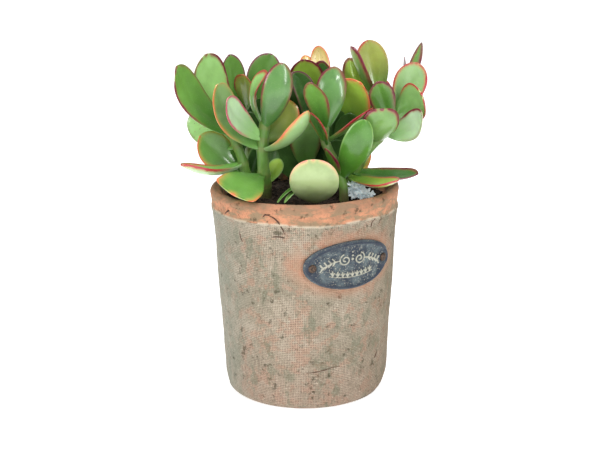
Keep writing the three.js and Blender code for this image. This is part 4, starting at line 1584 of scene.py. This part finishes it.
@dataclass
class Lichen:
    """A frilled tuft of lichen: ruffled flakes fanned round its foot."""

    flakes: int = 13
    flake_size: tuple[float, float] = (2.4, 4.6)
    thickness: float = 0.45 * MM
    seed: int = 5

    def make(self) -> None:
        """Ruffles the flakes inside the frame's tuft."""
        low, high = (np.array(corner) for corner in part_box("lichen_tuft"))
        rng = np.random.default_rng(self.seed)
        parts = []
        for count in range(self.flakes):
            clear_selection()
            bpy.ops.mesh.primitive_circle_add(vertices=30, radius=1.0, fill_type="TRIFAN")
            part = bpy.context.object
            part.name = f"flake_{count}"
            bpy.ops.object.mode_set(mode="EDIT")
            bpy.ops.mesh.select_all(action="SELECT")
            bpy.ops.mesh.subdivide(number_cuts=3)
            bpy.ops.object.mode_set(mode="OBJECT")
            bpy.ops.object.shade_smooth()
            disc = points_of(part)
            turn = np.arctan2(disc[:, 1], disc[:, 0])
            share = np.hypot(disc[:, 0], disc[:, 1])
            phase = rng.uniform(0, ANY_TURN, 3)
            lobes = 1 + 0.2 * np.sin(5 * turn + phase[0]) + 0.14 * np.sin(11 * turn + phase[1])
            size = rng.uniform(*self.flake_size) * MM
            ruffle = 0.35 * size * share**2 * np.sin(6 * turn + phase[2])
            local = np.stack([disc[:, 0] * lobes * size, disc[:, 1] * lobes * size, ruffle], 1)
            tilt = Matrix.Rotation(rng.uniform(0.1, 1.0), 3, "X")
            tilt = tilt @ Matrix.Rotation(rng.uniform(0, ANY_TURN), 3, "Z")
            tilt = Matrix.Rotation(rng.uniform(-0.7, 0.7), 3, "Z") @ tilt
            spot = low + (high - low) * rng.uniform((-0.2, 0.3, 0.3), (0.7, 0.8, 0.95))
            move_points(part, local @ np.array(tilt).T + spot)
            parts.append(part)
        piece = joined("lichen_flakes", parts)
        wall = piece.modifiers.new("flesh", "SOLIDIFY")
        wall.thickness = self.thickness
        wall.offset = 0.0
        bpy.ops.object.modifier_apply(modifier=wall.name)
        settle(piece, "lichen", LichenFinish().material(), "lichen_tuft")


# ------------------------------------------------------------------ the studio
@dataclass
class Studio:
    """The pale floor, the soft boxes and the camera."""

    camera_place: Place = (0.0, -1.4, 0.523)
    camera_aim: Place = (-0.0038, 0.0, 0.126)
    lens: float = 115.7
    sensor: float = 36.0
    clip: tuple[float, float] = (0.05, 30.0)
    roll: float = -0.01
    floor_size: float = 12.0
    floor_glow: float = 0.6
    sky: float = 0.42
    lit: Place = (0.0, 0.0, 0.15)
    lights: tuple[tuple[str, Place, tuple[float, float], float], ...] = (
        ("top_box", (0.0, 0.0, 1.5), (0.6, 0.5), 9),
        ("left_box", (-1.4, -0.75, 0.85), (0.6, 0.9), 13),
        ("right_strip", (0.8, -1.4, 0.85), (0.26, 1.0), 13),
        ("high_strip", (0.3, -1.1, 1.45), (0.45, 0.12), 7),
    )

    def floor(self) -> None:
        """Lays the pale floor."""
        clear_selection()
        bpy.ops.mesh.primitive_plane_add(size=self.floor_size)
        piece = bpy.context.object
        piece.name = "studio_floor"
        glow = {"Emission_Color": WHITE, "Emission_Strength": self.floor_glow}
        shader = Shader("floor_white", 0.9, Specular_IOR_Level=0.1, **glow)
        pale = shader.mix(shader.grain(0.8, 1.0), paint(250, 250, 250), paint(253, 253, 253))
        piece.data.materials.append(shader.finish(pale))

    def camera(self) -> None:
        """Aims the camera."""
        data = bpy.data.cameras.new("camera")
        data.lens, data.sensor_width = self.lens, self.sensor
        data.clip_start, data.clip_end = self.clip
        camera = bpy.data.objects.new("camera", data)
        bpy.context.collection.objects.link(camera)
        place, aim = Vector(self.camera_place), Vector(self.camera_aim)
        turn = (aim - place).to_track_quat("-Z", "Y").to_matrix() @ Matrix.Rotation(self.roll, 3, "Z")
        camera.location = place
        camera.rotation_euler = turn.to_euler()
        bpy.context.scene.camera = camera

    def light(self, name: str, place: Place, size: tuple[float, float], power: float) -> None:
        """Hangs a soft box that faces the plant.

        Args:
            name: The light's name.
            place: Where it hangs.
            size: Its width and height.
            power: Its power in watts.
        """
        data = bpy.data.lights.new(name, "AREA")
        data.shape = "RECTANGLE"
        data.size, data.size_y = size
        data.energy = power
        lamp = bpy.data.objects.new(name, data)
        bpy.context.collection.objects.link(lamp)
        lamp.location = place
        lamp.rotation_euler = (Vector(self.lit) - Vector(place)).to_track_quat("-Z", "Y").to_euler()

    def make(self) -> None:
        """Builds the whole studio."""
        self.floor()
        self.camera()
        for name, place, size, power in self.lights:
            self.light(name, place, size, power)
        world = bpy.data.worlds.new("world")
        bpy.context.scene.world = world
        world.use_nodes = True
        sky = world.node_tree.nodes["Background"]
        sky.inputs["Color"].default_value = WHITE
        sky.inputs["Strength"].default_value = self.sky
        bpy.context.scene.view_settings.view_transform = "Standard"


def main() -> None:
    """Builds the plant, its pot and the studio in order."""
    logging.basicConfig(level=logging.INFO, format="%(name)s: %(message)s")
    pot = Pot()
    plate = LabelPlate()
    finish = ClayFinish(
        bore=pot.foot_radius - pot.wall,
        slope=pot.slope,
        threads_round=310,
        thread=1.36 * MM,
        plate_azimuth=plate.azimuth,
        plate_level=plate.level,
        plate_half=(plate.half_turn, plate.half_height),
    )
    pot.make(finish)
    Fibres().make(pot)
    plate.make(pot)
    Soil().make()
    Lichen().make()
    shoots = Shoots()
    shoots.stems()
    shoots.leaves()
    Studio().make()


if __name__ == "__main__":
    main()
